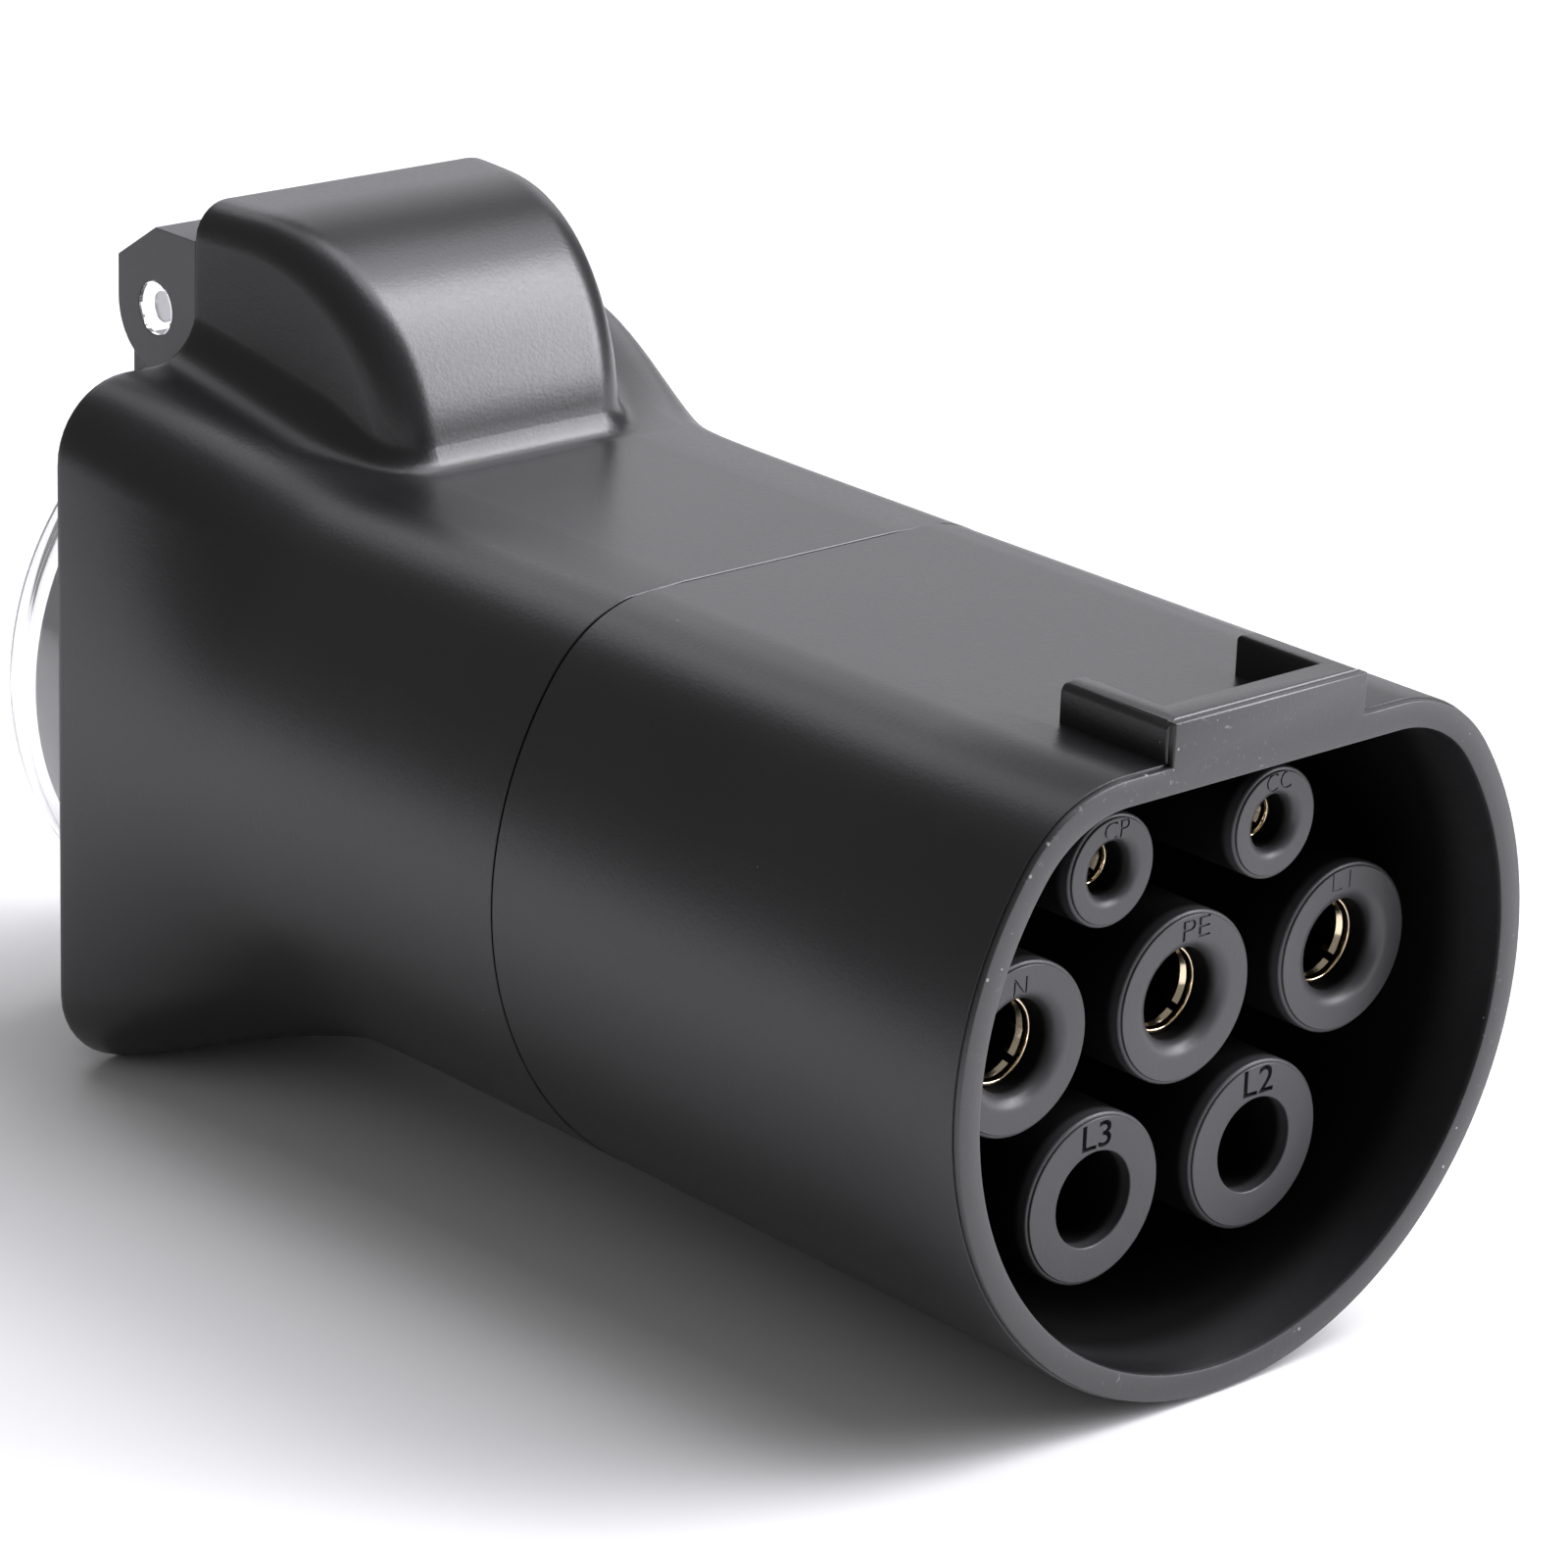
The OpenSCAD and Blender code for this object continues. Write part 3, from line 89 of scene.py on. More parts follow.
class Value:
    """A number on a shader link that takes plain arithmetic."""

    def __init__(self, graph: "Graph", socket: bpy.types.NodeSocket) -> None:
        """Keeps the graph and the output socket."""
        self.graph = graph
        self.socket = socket

    def _math(self, operation: str, *others: "Value | float") -> "Value":
        """Adds a Math node.

        Args:
            operation: the node's operation.
            others: the inputs, in order.

        Returns:
            The node's output.
        """
        inputs = {i: other for i, other in enumerate(others)}
        return self.graph.value("ShaderNodeMath", {"operation": operation}, inputs)

    def __add__(self, other: "Value | float") -> "Value":
        """Sum."""
        return self._math("ADD", self, other)

    def __sub__(self, other: "Value | float") -> "Value":
        """Difference."""
        return self._math("SUBTRACT", self, other)

    def __rsub__(self, other: float) -> "Value":
        """Difference from a plain number."""
        return self._math("SUBTRACT", other, self)

    def __mul__(self, other: "Value | float") -> "Value":
        """Product."""
        return self._math("MULTIPLY", self, other)

    def __truediv__(self, other: "Value | float") -> "Value":
        """Quotient."""
        return self._math("DIVIDE", self, other)

    __radd__ = __add__
    __rmul__ = __mul__

    def most(self, other: "Value | float") -> "Value":
        """The larger of two."""
        return self._math("MAXIMUM", self, other)

    def size(self) -> "Value":
        """The value without its sign."""
        return self._math("ABSOLUTE", self)

    def root(self) -> "Value":
        """Square root."""
        return self._math("SQRT", self)

    def over(self, limit: "Value | float") -> "Value":
        """One where the value is over the limit, else zero."""
        return self._math("GREATER_THAN", self, limit)

    def under(self, limit: "Value | float") -> "Value":
        """One where the value is under the limit, else zero."""
        return self._math("LESS_THAN", self, limit)

    def ramp(self, low: float, high: float) -> "Value":
        """Smooth rise from zero at low to one at high."""
        inputs = {"Value": self, "From Min": low, "From Max": high}
        return self.graph.value("ShaderNodeMapRange", {"interpolation_type": "SMOOTHSTEP"}, inputs)


class Graph:
    """A material's nodes, made one call at a time."""

    def __init__(self, tree: bpy.types.NodeTree) -> None:
        """Empties the tree and adds its object coordinates."""
        self.tree = tree
        tree.nodes.clear()
        self.place = self.node("ShaderNodeTexCoord", {}, {}).outputs["Object"]

    def node(self, kind: str, settings: dict, inputs: dict) -> bpy.types.Node:
        """Adds one node.

        Args:
            kind: the node's type.
            settings: properties that are set first.
            inputs: socket name or number to a number, colour, socket or Value.

        Returns:
            The node.
        """
        made = self.tree.nodes.new(kind)
        for key, value in settings.items():
            setattr(made, key, value)
        for key, value in inputs.items():
            if isinstance(value, Value):
                value = value.socket
            if isinstance(value, bpy.types.NodeSocket):
                self.tree.links.new(value, made.inputs[key])
            else:
                made.inputs[key].default_value = value
        return made

    def value(self, kind: str, settings: dict, inputs: dict, output: str | int = 0) -> Value:
        """Adds one node and returns one of its outputs as a Value."""
        return Value(self, self.node(kind, settings, inputs).outputs[output])

    def noise(self, scale: float, detail: float = 3.0, rough: float = 0.5) -> Value:
        """Cloud pattern from zero to one, scale in cells a metre."""
        inputs = {"Vector": self.place, "Scale": scale, "Detail": detail, "Roughness": rough}
        return self.value("ShaderNodeTexNoise", {}, inputs, "Fac")

    def specks(self, scale: float, size: float) -> Value:
        """Mask of scattered round specks, size as a share of a cell."""
        inputs = {"Vector": self.place, "Scale": scale}
        return self.value("ShaderNodeTexVoronoi", {}, inputs, "Distance").under(size)

    def axis(self, name: str) -> Value:
        """One of the object's own coordinates, in metres."""
        return self.value("ShaderNodeSeparateXYZ", {}, {0: self.place}, name)

    def mix(self, factor: Value, a: Sequence[float], b: Sequence[float]) -> bpy.types.NodeSocket:
        """Colour between a and b; either may be a socket.

        Args:
            factor: share of b.
            a: first colour.
            b: second colour.

        Returns:
            The mixed colour.
        """
        made = self.node("ShaderNodeMix", {"data_type": "RGBA"}, {"Factor": factor})
        for socket, colour in ((made.inputs[6], a), (made.inputs[7], b)):
            if isinstance(colour, bpy.types.NodeSocket):
                self.tree.links.new(colour, socket)
            else:
                socket.default_value = (*colour[:3], 1.0)
        return made.outputs[2]

    def bump(self, height: Value, depth: float) -> bpy.types.NodeSocket:
        """Surface direction roughened by a height pattern, depth in metres."""
        return self.node("ShaderNodeBump", {}, {"Height": height, "Distance": depth}).outputs["Normal"]


class Tone(Enum):
    """Colours of the adapter's finishes, as linear red, green and blue."""

    BLACK = (0.0105, 0.0101, 0.0112)
    RUBBED = (0.037, 0.036, 0.038)
    FACE = (0.040, 0.039, 0.042)
    # painted shade: the near-black of the nose's and towers' recesses
    PAINTED_SHADE = (0.0015, 0.0015, 0.0016)
    SLATE = (0.14, 0.14, 0.15)
    PALE = (0.62, 0.62, 0.64)
    GOLD = (0.95, 0.80, 0.57)
    # painted shade: the dark brown deep inside the contact sleeves
    SLEEVE_SHADE = (0.06, 0.04, 0.025)
    BRASS = (0.72, 0.55, 0.28)
    ZINC = (0.62, 0.62, 0.63)
    DUST = (0.42, 0.42, 0.42)
    BOARD = (0.02, 0.14, 0.05)
    TAN = (0.55, 0.44, 0.28)
    CLEAR = (0.98, 0.985, 0.99)
    COAT = (0.062, 0.060, 0.064)
    RUBBER = (0.02, 0.02, 0.02)
    SILICONE = (0.5, 0.5, 0.5)
    BLUE = (0.02, 0.09, 0.42)
    GREEN = (0.25, 0.42, 0.04)
    BROWN = (0.15, 0.06, 0.03)
    ORANGE = (0.7, 0.22, 0.03)
    WHITE = (0.7, 0.7, 0.7)


@dataclass(frozen=True)
class Finish:
    """A surface finish; each kind builds its own nodes once."""

    name: str
    colour: Sequence[float]
    rough: float = 0.5
    metal: float = 0.0
    gloss: float = 0.5

    def build(self, graph: Graph) -> dict:
        """Inputs of the Principled shader that vary over the surface."""
        return {"Base Color": (*self.colour, 1.0), "Roughness": self.rough}

    def fixed(self) -> dict:
        """Inputs of the Principled shader that are the same all over."""
        return {"Metallic": self.metal, "Specular IOR Level": self.gloss}

    def material(self) -> bpy.types.Material:
        """The finish as a material, made on first use.

        Returns:
            The material.
        """
        made = bpy.data.materials.get(self.name)
        if made is None:
            made = bpy.data.materials.new(self.name)
            made.use_nodes = True
            graph = Graph(made.node_tree)
            shader = graph.node("ShaderNodeBsdfPrincipled", {}, {**self.fixed(), **self.build(graph)})
            graph.node("ShaderNodeOutputMaterial", {}, {"Surface": shader.outputs[0]})
        return made

    def on(self, piece: bpy.types.Object) -> bpy.types.Object:
        """Puts the finish on a piece in place of what it had.

        Args:
            piece: the piece to dress.

        Returns:
            The piece.
        """
        if piece.material_slots:
            for slot in piece.material_slots:
                slot.material = self.material()
        else:
            piece.data.materials.append(self.material())
        return piece


@dataclass(frozen=True)
class MouldedPlastic(Finish):
    """Fine grained moulded plastic with a little dust.

    Scales are in cells a metre, the grain's depth in metres and other sizes in millimetres.
    """

    gloss: float = 0.62
    grain: float = 3200.0
    depth: float = 0.000012
    dust: float = 0.012
    wear: bool = False
    # hollow=True paints shade into the recesses: the nose's inner wall and the towers' mouths and walls
    # behind their faces
    hollow: bool = False
    cloud_scale: float = 45.0
    cloud_share: float = 0.12
    dust_scale: float = 240.0
    dot_scale: float = 520.0
    nick_scale: float = 1500.0
    patch_scale: float = 70.0
    rubbed: Flat = (0.5, 0.1)
    worn_corner: Flat = (9.3, 23.8)
    worn_reach: Flat = (2.6, 0.6)
    # where the painted shade lies, in millimetres
    shade_wall_side: Flat = (1.4, 2.6)
    shade_wall_fade: Flat = (0.5, 7.0)
    shade_face_fade: Flat = (6.75, 8.0)

    def build(self, graph: Graph) -> dict:
        """Grain, clouding, dust, at the rim light scuffs, and painted shade in the recesses of hollow pieces.

        Args:
            graph: the material's nodes.

        Returns:
            Inputs of the Principled shader.
        """
        cloud = graph.noise(self.cloud_scale, 4.0)
        fine = graph.noise(self.grain, 2.0, 0.6)
        shares = (1 - self.cloud_share, 1 + self.cloud_share)
        dark, light = ([c * share for c in self.colour] for share in shares)
        tint = graph.mix(cloud.ramp(0.3, 0.7), dark, light)
        speck = graph.specks(self.dust_scale, self.dust)
        if self.wear:
            edge = graph.axis("Y").ramp(*((y - LENGTH / 2) * MM for y in self.rubbed))
            speck = self.scuffs(graph, speck, edge)
            tint = graph.mix(edge, tint, Tone.RUBBED.value)
        colour = graph.mix(speck, tint, Tone.DUST.value)
        rough = cloud * 0.06 + fine * 0.1 + (self.rough - 0.08)
        inputs = {"Normal": graph.bump(fine, self.depth)}
        # painted shade: the recesses get a near-black colour, more roughness and metalness that dulls their
        # reflections
        if self.hollow:
            deep = self.inside(graph)
            colour = graph.mix(deep, colour, Tone.PAINTED_SHADE.value)
            rough = deep * 0.5 + rough
            inputs["Metallic"] = deep * 0.8
        return inputs | {"Base Color": colour, "Roughness": rough}

    def inside(self, graph: Graph) -> Value:
        """Painted shade mask: one within the nose's wall and behind the faces of its towers, else zero.

        Args:
            graph: the material's nodes.

        Returns:
            The painted shade mask.
        """
        outline = NoseOutline()
        x = graph.axis("X").size() / MM
        z = graph.axis("Z") / MM - DROP
        far = [(x - outline.corner[0]).most(0.0), (z - outline.corner[1]).most(0.0)]
        corner = outline.corner_r - (far[0] * far[0] + far[1] * far[1]).root()
        circle = outline.round_r - (x * x + z * z).root()
        high = (z * outline.corner[0] - x * outline.corner[1]).over(0.0)
        wall = high * corner + (1.0 - high) * circle
        y = graph.axis("Y") / MM + LENGTH / 2
        within = wall.over(self.shade_wall_side[0]) * y.ramp(*self.shade_wall_fade)
        return within * (wall.under(self.shade_wall_side[1]) + y.ramp(*self.shade_face_fade)).ramp(0.0, 1.0)

    def scuffs(self, graph: Graph, speck: Value, edge: Value) -> Value:
        """Adds the rim's pale nicks and dots, and the catch's rubbed corner, to the dust mask.

        Args:
            graph: the material's nodes.
            speck: the dust mask.
            edge: the rim's mask.

        Returns:
            The fuller mask.
        """
        nick = graph.noise(self.nick_scale, 5.0, 0.75).ramp(0.6, 0.76)
        x = graph.axis("X") / MM - self.worn_corner[0]
        z = graph.axis("Z") / MM - DROP - self.worn_corner[1]
        corner = (x * x + z * z).root().ramp(*self.worn_reach)
        patch = graph.noise(self.patch_scale, 3.0).ramp(0.42, 0.66) + corner
        return speck + nick * patch * edge * 0.6 + graph.specks(self.dot_scale, 0.07) * edge * 0.6


@dataclass(frozen=True)
class PlatedMetal(Finish):
    """Turned or pressed metal with fine tool lines."""

    metal: float = 1.0
    lines: float = 2600.0
    clouds: float = 160.0
    depth: float = 0.000008
    # depths in millimetres between which painted shade darkens the metal
    deep: Flat | None = None

    def build(self, graph: Graph) -> dict:
        """Faint streaks in tone and shine, and painted shade that darkens the metal between two depths where
        they are given.

        Args:
            graph: the material's nodes.

        Returns:
            Inputs of the Principled shader.
        """
        streak = graph.noise(self.lines, 2.0)
        cloud = graph.noise(self.clouds, 3.0)
        tint = graph.mix(cloud, [c * 0.9 for c in self.colour], self.colour)
        # painted shade deep inside the bore
        if self.deep:
            depth = graph.axis("Y") / MM + LENGTH / 2
            tint = graph.mix(depth.ramp(*self.deep), tint, Tone.SLEEVE_SHADE.value)
        return {
            "Base Color": tint,
            "Roughness": streak * 0.12 + cloud * 0.08 + (self.rough - 0.1),
            "Normal": graph.bump(streak, self.depth),
        }


@dataclass(frozen=True)
class Rubber(Finish):
    """Dull elastic ring or cable jacket."""

    def build(self, graph: Graph) -> dict:
        """Soft clouding and a waxy bloom.

        Args:
            graph: the material's nodes.

        Returns:
            Inputs of the Principled shader.
        """
        cloud = graph.noise(220.0, 4.0)
        bloom = [c * 1.25 + 0.004 for c in self.colour]
        return {
            "Base Color": graph.mix(cloud, self.colour, bloom),
            "Roughness": cloud * 0.15 + self.rough,
            "Normal": graph.bump(cloud, 0.00002),
        }


@dataclass(frozen=True)
class ClearPlastic(Finish):
    """Clear moulded plastic with faint handling marks."""

    def build(self, graph: Graph) -> dict:
        """Nearly smooth, with hazy fingers of wear."""
        haze = graph.noise(90.0, 4.0).ramp(0.5, 0.9)
        return {"Base Color": (*self.colour, 1.0), "Roughness": haze * 0.05 + self.rough}

    def fixed(self) -> dict:
        """See-through all over."""
        return {"Metallic": 0.0, "IOR": 1.49, "Transmission Weight": 1.0}


BLACK = MouldedPlastic("black_moulded_plastic", Tone.BLACK.value, 0.32)
# hollow=True paints shade into the recesses of the nose and the towers
RIM = MouldedPlastic("black_nose_plastic", Tone.BLACK.value, 0.32, wear=True, hollow=True)
TOWER = MouldedPlastic("black_tower_plastic", Tone.FACE.value, 0.42, dust=0.008, hollow=True)
SLATE = MouldedPlastic("grey_inner_plastic", Tone.SLATE.value, 0.5)
PALE = MouldedPlastic("pale_grey_plastic", Tone.PALE.value, 0.42, grain=2200.0, depth=0.00002)
CLEAR = ClearPlastic("clear_lid_plastic", Tone.CLEAR.value, 0.02)
# GOLD darkens with painted shade from 9.9 to 13 mm behind the rim
GOLD = PlatedMetal("gold_plated_sleeve", Tone.GOLD.value, 0.14, deep=(9.9, 13.0))
BRASS = PlatedMetal("bare_brass", Tone.BRASS.value, 0.3)
ZINC = PlatedMetal("zinc_plated_steel", Tone.ZINC.value, 0.34)
COAT = MouldedPlastic("black_coated_steel", Tone.COAT.value, 0.46, grain=5200.0, depth=0.00002)
RING = Rubber("black_rubber", Tone.RUBBER.value, 0.6)
SOFT = Rubber("pale_rubber", Tone.SILICONE.value, 0.5)
BOARD = Rubber("green_board", Tone.BOARD.value, 0.35)
TAN = Rubber("resistor_lacquer", Tone.TAN.value, 0.4)
JACKETS = {
    "lead_neutral": Rubber("blue_jacket", Tone.BLUE.value, 0.4),
    "lead_earth": Rubber("green_jacket", Tone.GREEN.value, 0.4),
    "lead_line": Rubber("brown_jacket", Tone.BROWN.value, 0.4),
    "lead_cp": Rubber("orange_jacket", Tone.ORANGE.value, 0.4),
    "lead_cc": Rubber("white_jacket", Tone.WHITE.value, 0.4),
}


class Bench:
    """Modelling steps shared by all sub-assemblies."""

    CAP_SHARE = 0.7  # height of a capital as a share of the letters' size

    @staticmethod
    def clear() -> None:
        """Leaves edit mode and deselects everything."""
        if bpy.context.mode != "OBJECT":
            bpy.ops.object.mode_set(mode="OBJECT")
        bpy.ops.object.select_all(action="DESELECT")

    @classmethod
    def pick(cls, piece: bpy.types.Object) -> bpy.types.Object:
        """Selects one piece alone and makes it active.

        Args:
            piece: the piece to select.

        Returns:
            The piece.
        """
        cls.clear()
        piece.select_set(True)
        bpy.context.view_layer.objects.active = piece
        return piece

    @classmethod
    def edit(cls, piece: bpy.types.Object, *steps: Callable[[], object]) -> bpy.types.Object:
        """Runs edit mode steps with the whole mesh selected.

        Args:
            piece: the mesh.
            steps: operators to run, in order.

        Returns:
            The piece.
        """
        cls.pick(piece)
        bpy.ops.object.mode_set(mode="EDIT")
        bpy.ops.mesh.select_all(action="SELECT")
        for step in steps:
            step()
        bpy.ops.object.mode_set(mode="OBJECT")
        return piece

    @classmethod
    def loft(cls, name: str, rings: Sequence[Sequence[Vector]], shut: bool = True) -> bpy.types.Object:
        """Skin through rings of points, from a grid that is shaped and sewn.

        Args:
            name: the piece's name.
            rings: one list of points for each ring, all of one length.
            shut: True joins the last ring to the first, as on a wall.

        Returns:
            The new piece.
        """
        rows = [*rings, rings[0]] if shut else list(rings)
        cls.clear()
        around = len(rows[0])
        bpy.ops.mesh.primitive_grid_add(x_subdivisions=around, y_subdivisions=len(rows) - 1)
        piece = bpy.context.object
        piece.name = name
        flat = [c for ring in rows for p in (*ring, ring[0]) for c in p]
        piece.data.vertices.foreach_set("co", flat)
        cls.edit(
            piece,
            lambda: bpy.ops.mesh.remove_doubles(threshold=1e-6),
            lambda: bpy.ops.mesh.normals_make_consistent(inside=False),
        )
        return cls.smooth(piece)

    @classmethod
    def turned(
        cls, name: str, profile: Sequence[Flat], centre: Flat, steps: int = LATHE_STEPS
    ) -> bpy.types.Object:
        """Round piece around an axis that runs back.

        Args:
            name: the piece's name.
            profile: closed outline as radius and distance from the rim, in millimetres.
            centre: the axis as x and z, in millimetres.
            steps: faces around.

        Returns:
            The new piece.
        """
        turns = [2 * math.pi * i / steps for i in range(steps)]
        x, z = centre
        rings = [[at(x + r * math.sin(a), y, z + r * math.cos(a)) for a in turns] for r, y in profile]
        return cls.loft(name, rings)

    @staticmethod
    def smooth(piece: bpy.types.Object, angle: float = 32.0) -> bpy.types.Object:
        """Smooth shading up to an angle in degrees.

        Args:
            piece: the mesh.
            angle: sharper edges stay hard.

        Returns:
            The piece.
        """
        Bench.pick(piece)
        bpy.ops.object.shade_smooth_by_angle(angle=math.radians(angle))
        return piece

    @classmethod
    def apply(cls, piece: bpy.types.Object, kind: str, **settings: object) -> bpy.types.Object:
        """Adds one modifier with its settings and applies it.

        Args:
            piece: the mesh.
            kind: the modifier's type.
            settings: its properties.

        Returns:
            The piece.
        """
        cls.pick(piece)
        made = piece.modifiers.new(kind.lower(), kind)
        for key, value in settings.items():
            setattr(made, key, value)
        bpy.ops.object.modifier_apply(modifier=made.name)
        return piece

    @classmethod
    def carve(
        cls, piece: bpy.types.Object, tool: bpy.types.Object, way: str = "DIFFERENCE"
    ) -> bpy.types.Object:
        """Cuts or joins with a tool piece, which is then removed.

        Args:
            piece: the mesh that stays.
            tool: the piece to cut or join with.
            way: the Boolean operation.

        Returns:
            The piece that stays.
        """
        cls.apply(piece, "BOOLEAN", object=tool, operation=way, solver="EXACT")
        bpy.data.objects.remove(tool)
        return piece

    @classmethod
    def join(cls, name: str, parts: Sequence[bpy.types.Object]) -> bpy.types.Object:
        """Makes one piece of several.

        Args:
            name: the new piece's name.
            parts: the pieces.

        Returns:
            The new piece.
        """
        cls.pick(parts[0])
        for part in parts:
            part.select_set(True)
        bpy.ops.object.join()
        parts[0].name = name
        return parts[0]

    @classmethod
    def copy(cls, node: str, flat: float, *steps: Callable[[], object]) -> bpy.types.Object:
        """Copy of a CAD node with doubled points sewn and flat faces merged.

        Args:
            node: the CAD node.
            flat: faces that differ by less than this are merged, in degrees.
            steps: more edit mode steps.

        Returns:
            The new piece, without materials.
        """
        piece = bpy.data.objects.new(node + "_finished", frame["nodes"][node].data.copy())
        piece.data.materials.clear()
        bpy.context.scene.collection.objects.link(piece)
        return cls.edit(
            piece,
            lambda: bpy.ops.mesh.remove_doubles(threshold=SEWN),
            lambda: bpy.ops.mesh.dissolve_limited(angle_limit=math.radians(flat)),
            *steps,
        )

    @classmethod
    def softened(cls, node: str, radius: float, angle: float = 40.0, steps: int = 3) -> bpy.types.Object:
        """Copy of a CAD node with its hard edges rounded.

        Args:
            node: the CAD node.
            radius: the rounding in millimetres.
            angle: edges sharper than this are rounded, in degrees.
            steps: faces across a rounding.

        Returns:
            The new piece.
        """
        piece = cls.copy(node, 0.6)
        cls.apply(
            piece,
            "BEVEL",
            width=radius * MM,
            segments=steps,
            limit_method="ANGLE",
            angle_limit=math.radians(angle),
            use_clamp_overlap=True,
        )
        cls.smooth(piece, 35.0)
        return cls.apply(piece, "WEIGHTED_NORMAL", keep_sharp=True)

    @classmethod
    def copied(cls, node: str, angle: float = 30.0) -> bpy.types.Object:
        """Copy of a CAD node with its curves shaded smooth.

        Args:
            node: the CAD node.
            angle: sharper edges stay hard, in degrees.

        Returns:
            The new piece.
        """
        piece = cls.copy(node, 0.04, lambda: bpy.ops.mesh.normals_make_consistent(inside=False))
        cls.smooth(piece, angle)
        return cls.apply(piece, "WEIGHTED_NORMAL", keep_sharp=True)

    @classmethod
    def edged(
        cls, piece: bpy.types.Object, width: float, share: Callable[[Vector, Vector], float]
    ) -> bpy.types.Object:
        """Rounds each edge by a share of one width.

        Args:
            piece: the mesh.
            width: the widest rounding in millimetres.
            share: gives an edge's share from its two ends, in metres.

        Returns:
            The piece.
        """
        mesh = piece.data
        weights = mesh.attributes.new("bevel_weight_edge", "FLOAT", "EDGE")
        for edge in mesh.edges:
            ends = [mesh.vertices[i].co for i in edge.vertices]
            weights.data[edge.index].value = share(*ends)
        cls.apply(piece, "BEVEL", width=width * MM, segments=5, limit_method="WEIGHT", use_clamp_overlap=True)
        return cls.smooth(piece)

    @classmethod
    def block(cls, low: Vector, high: Vector) -> bpy.types.Object:
        """Box between two corners.

        Args:
            low: its lowest corner.
            high: its highest corner.

        Returns:
            The new piece.
        """
        cls.clear()
        bpy.ops.mesh.primitive_cube_add(size=1)
        box = bpy.context.object
        box.data.transform(Matrix.Translation((low + high) / 2) @ Matrix.Diagonal((*(high - low), 1.0)))
        return box

    @classmethod
    def mark(cls, lettering: "Lettering", y: float) -> bpy.types.Object:
        """Solid letters that face the front, to carve.

        Args:
            lettering: the letters with their size and place.
            y: the distance from the rim of the face that they are cut into.

        Returns:
            The letters as a mesh.
        """
        cls.clear()
        bpy.ops.object.text_add()
        piece = bpy.context.object
        piece.data.body = lettering.text
        piece.data.align_x = "CENTER"
        piece.data.align_y = "CENTER"
        piece.data.size = lettering.height * MM / cls.CAP_SHARE
        piece.data.offset = lettering.weight * MM
        piece.data.extrude = lettering.depth * MM
        piece.data.resolution_u = 4
        bpy.ops.object.convert(target="MESH")
        piece = bpy.context.object
        low = [min(v.co[i] for v in piece.data.vertices) for i in range(2)]
        high = [max(v.co[i] for v in piece.data.vertices) for i in range(2)]
        wide, tall = lettering.width * MM / (high[0] - low[0]), lettering.height * MM / (high[1] - low[1])
        fit = Matrix.Diagonal((wide, tall, 1, 1))
        centre = Matrix.Translation((-(low[0] + high[0]) / 2, -(low[1] + high[1]) / 2, 0))
        turn = Matrix.Translation(at(lettering.x, y, lettering.z)) @ Matrix.Rotation(math.pi / 2, 4, "X")
        piece.data.transform(turn @ fit @ centre)
        return cls.edit(piece, lambda: bpy.ops.mesh.remove_doubles(threshold=1e-6))


@dataclass(frozen=True)
class Lettering:
    """Letters cut into a face, in millimetres."""

    text: str
    x: float
    z: float
    height: float
    width: float
    weight: float = -0.02
    depth: float = 0.14


def fit_out(piece: bpy.types.Object, finish: Finish, body: str, slot: str, *nodes: str) -> bpy.types.Object:
    """Dresses a new piece and ties it to the frame.

    Args:
        piece: the finished mesh.
        finish: its surface.
        body: the CAD body that it rides on.
        slot: the record's material slot; not used.
        nodes: the CAD nodes that it stands for.

    Returns:
        The piece.
    """
    finish.on(piece)
    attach(piece, body)
    if nodes:
        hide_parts(*nodes)
    log.info("%s: %d faces", piece.name, len(piece.data.polygons))
    return piece


@dataclass
class NoseOutline:
    """The nose's cross section: a circle with a flat top and round corners."""

    round_r: float = 27.8
    flat_z: float = 21.1
    corner_r: float = 11.4
    corner: Flat = field(init=False)

    def __post_init__(self) -> None:
        """Finds the centre of the right corner's circle."""
        z = self.flat_z - self.corner_r
        self.corner = (math.sqrt((self.round_r - self.corner_r) ** 2 - z**2), z)

    def walk(self, flat: int = 10, corner: int = 30, around: int = 120) -> list[tuple[Flat, Flat]]:
        """Points and outward directions, clockwise from the top's left end.

        Args:
            flat: points on the flat.
            corner: points on each corner.
            around: points on the circle.

        Returns:
            Pairs of a point and its direction.
        """
        cx, cz = self.corner
        start = math.atan2(cz, cx)
        steps: list[tuple[Flat, Flat]] = []
        for i in range(flat):
            steps.append(((lerp(-cx, cx, i / flat), self.flat_z), (0.0, 1.0)))
        for i in range(corner):
            a = lerp(math.pi / 2, start, i / corner)
            n = (math.cos(a), math.sin(a))
            steps.append(((cx + self.corner_r * n[0], cz + self.corner_r * n[1]), n))
        for i in range(around):
            a = lerp(start, -math.pi - start, i / around)
            n = (math.cos(a), math.sin(a))
            steps.append(((self.round_r * n[0], self.round_r * n[1]), n))
        for i in range(corner):
            a = lerp(math.pi - start, math.pi / 2, i / corner)
            n = (math.cos(a), math.sin(a))
            steps.append(((-cx + self.corner_r * n[0], cz + self.corner_r * n[1]), n))
        return steps

    def ring(self, y: float, inset: float) -> list[Vector]:
        """The outline drawn inwards by inset at distance y."""
        return [at(p[0] - n[0] * inset, y, p[1] - n[1] * inset) for p, n in self.walk()]

    def radius(self, a: float) -> float:
        """Distance from the axis to the outline at angle a, in radians.

        Args:
            a: the angle.

        Returns:
            The distance in millimetres.
        """
        cx, cz = self.corner
        if a >= math.atan2(self.flat_z, cx):
            return self.flat_z / math.sin(a)
        if a <= math.atan2(cz, cx):
            return self.round_r
        return arc_radius(a, self.corner, self.corner_r)


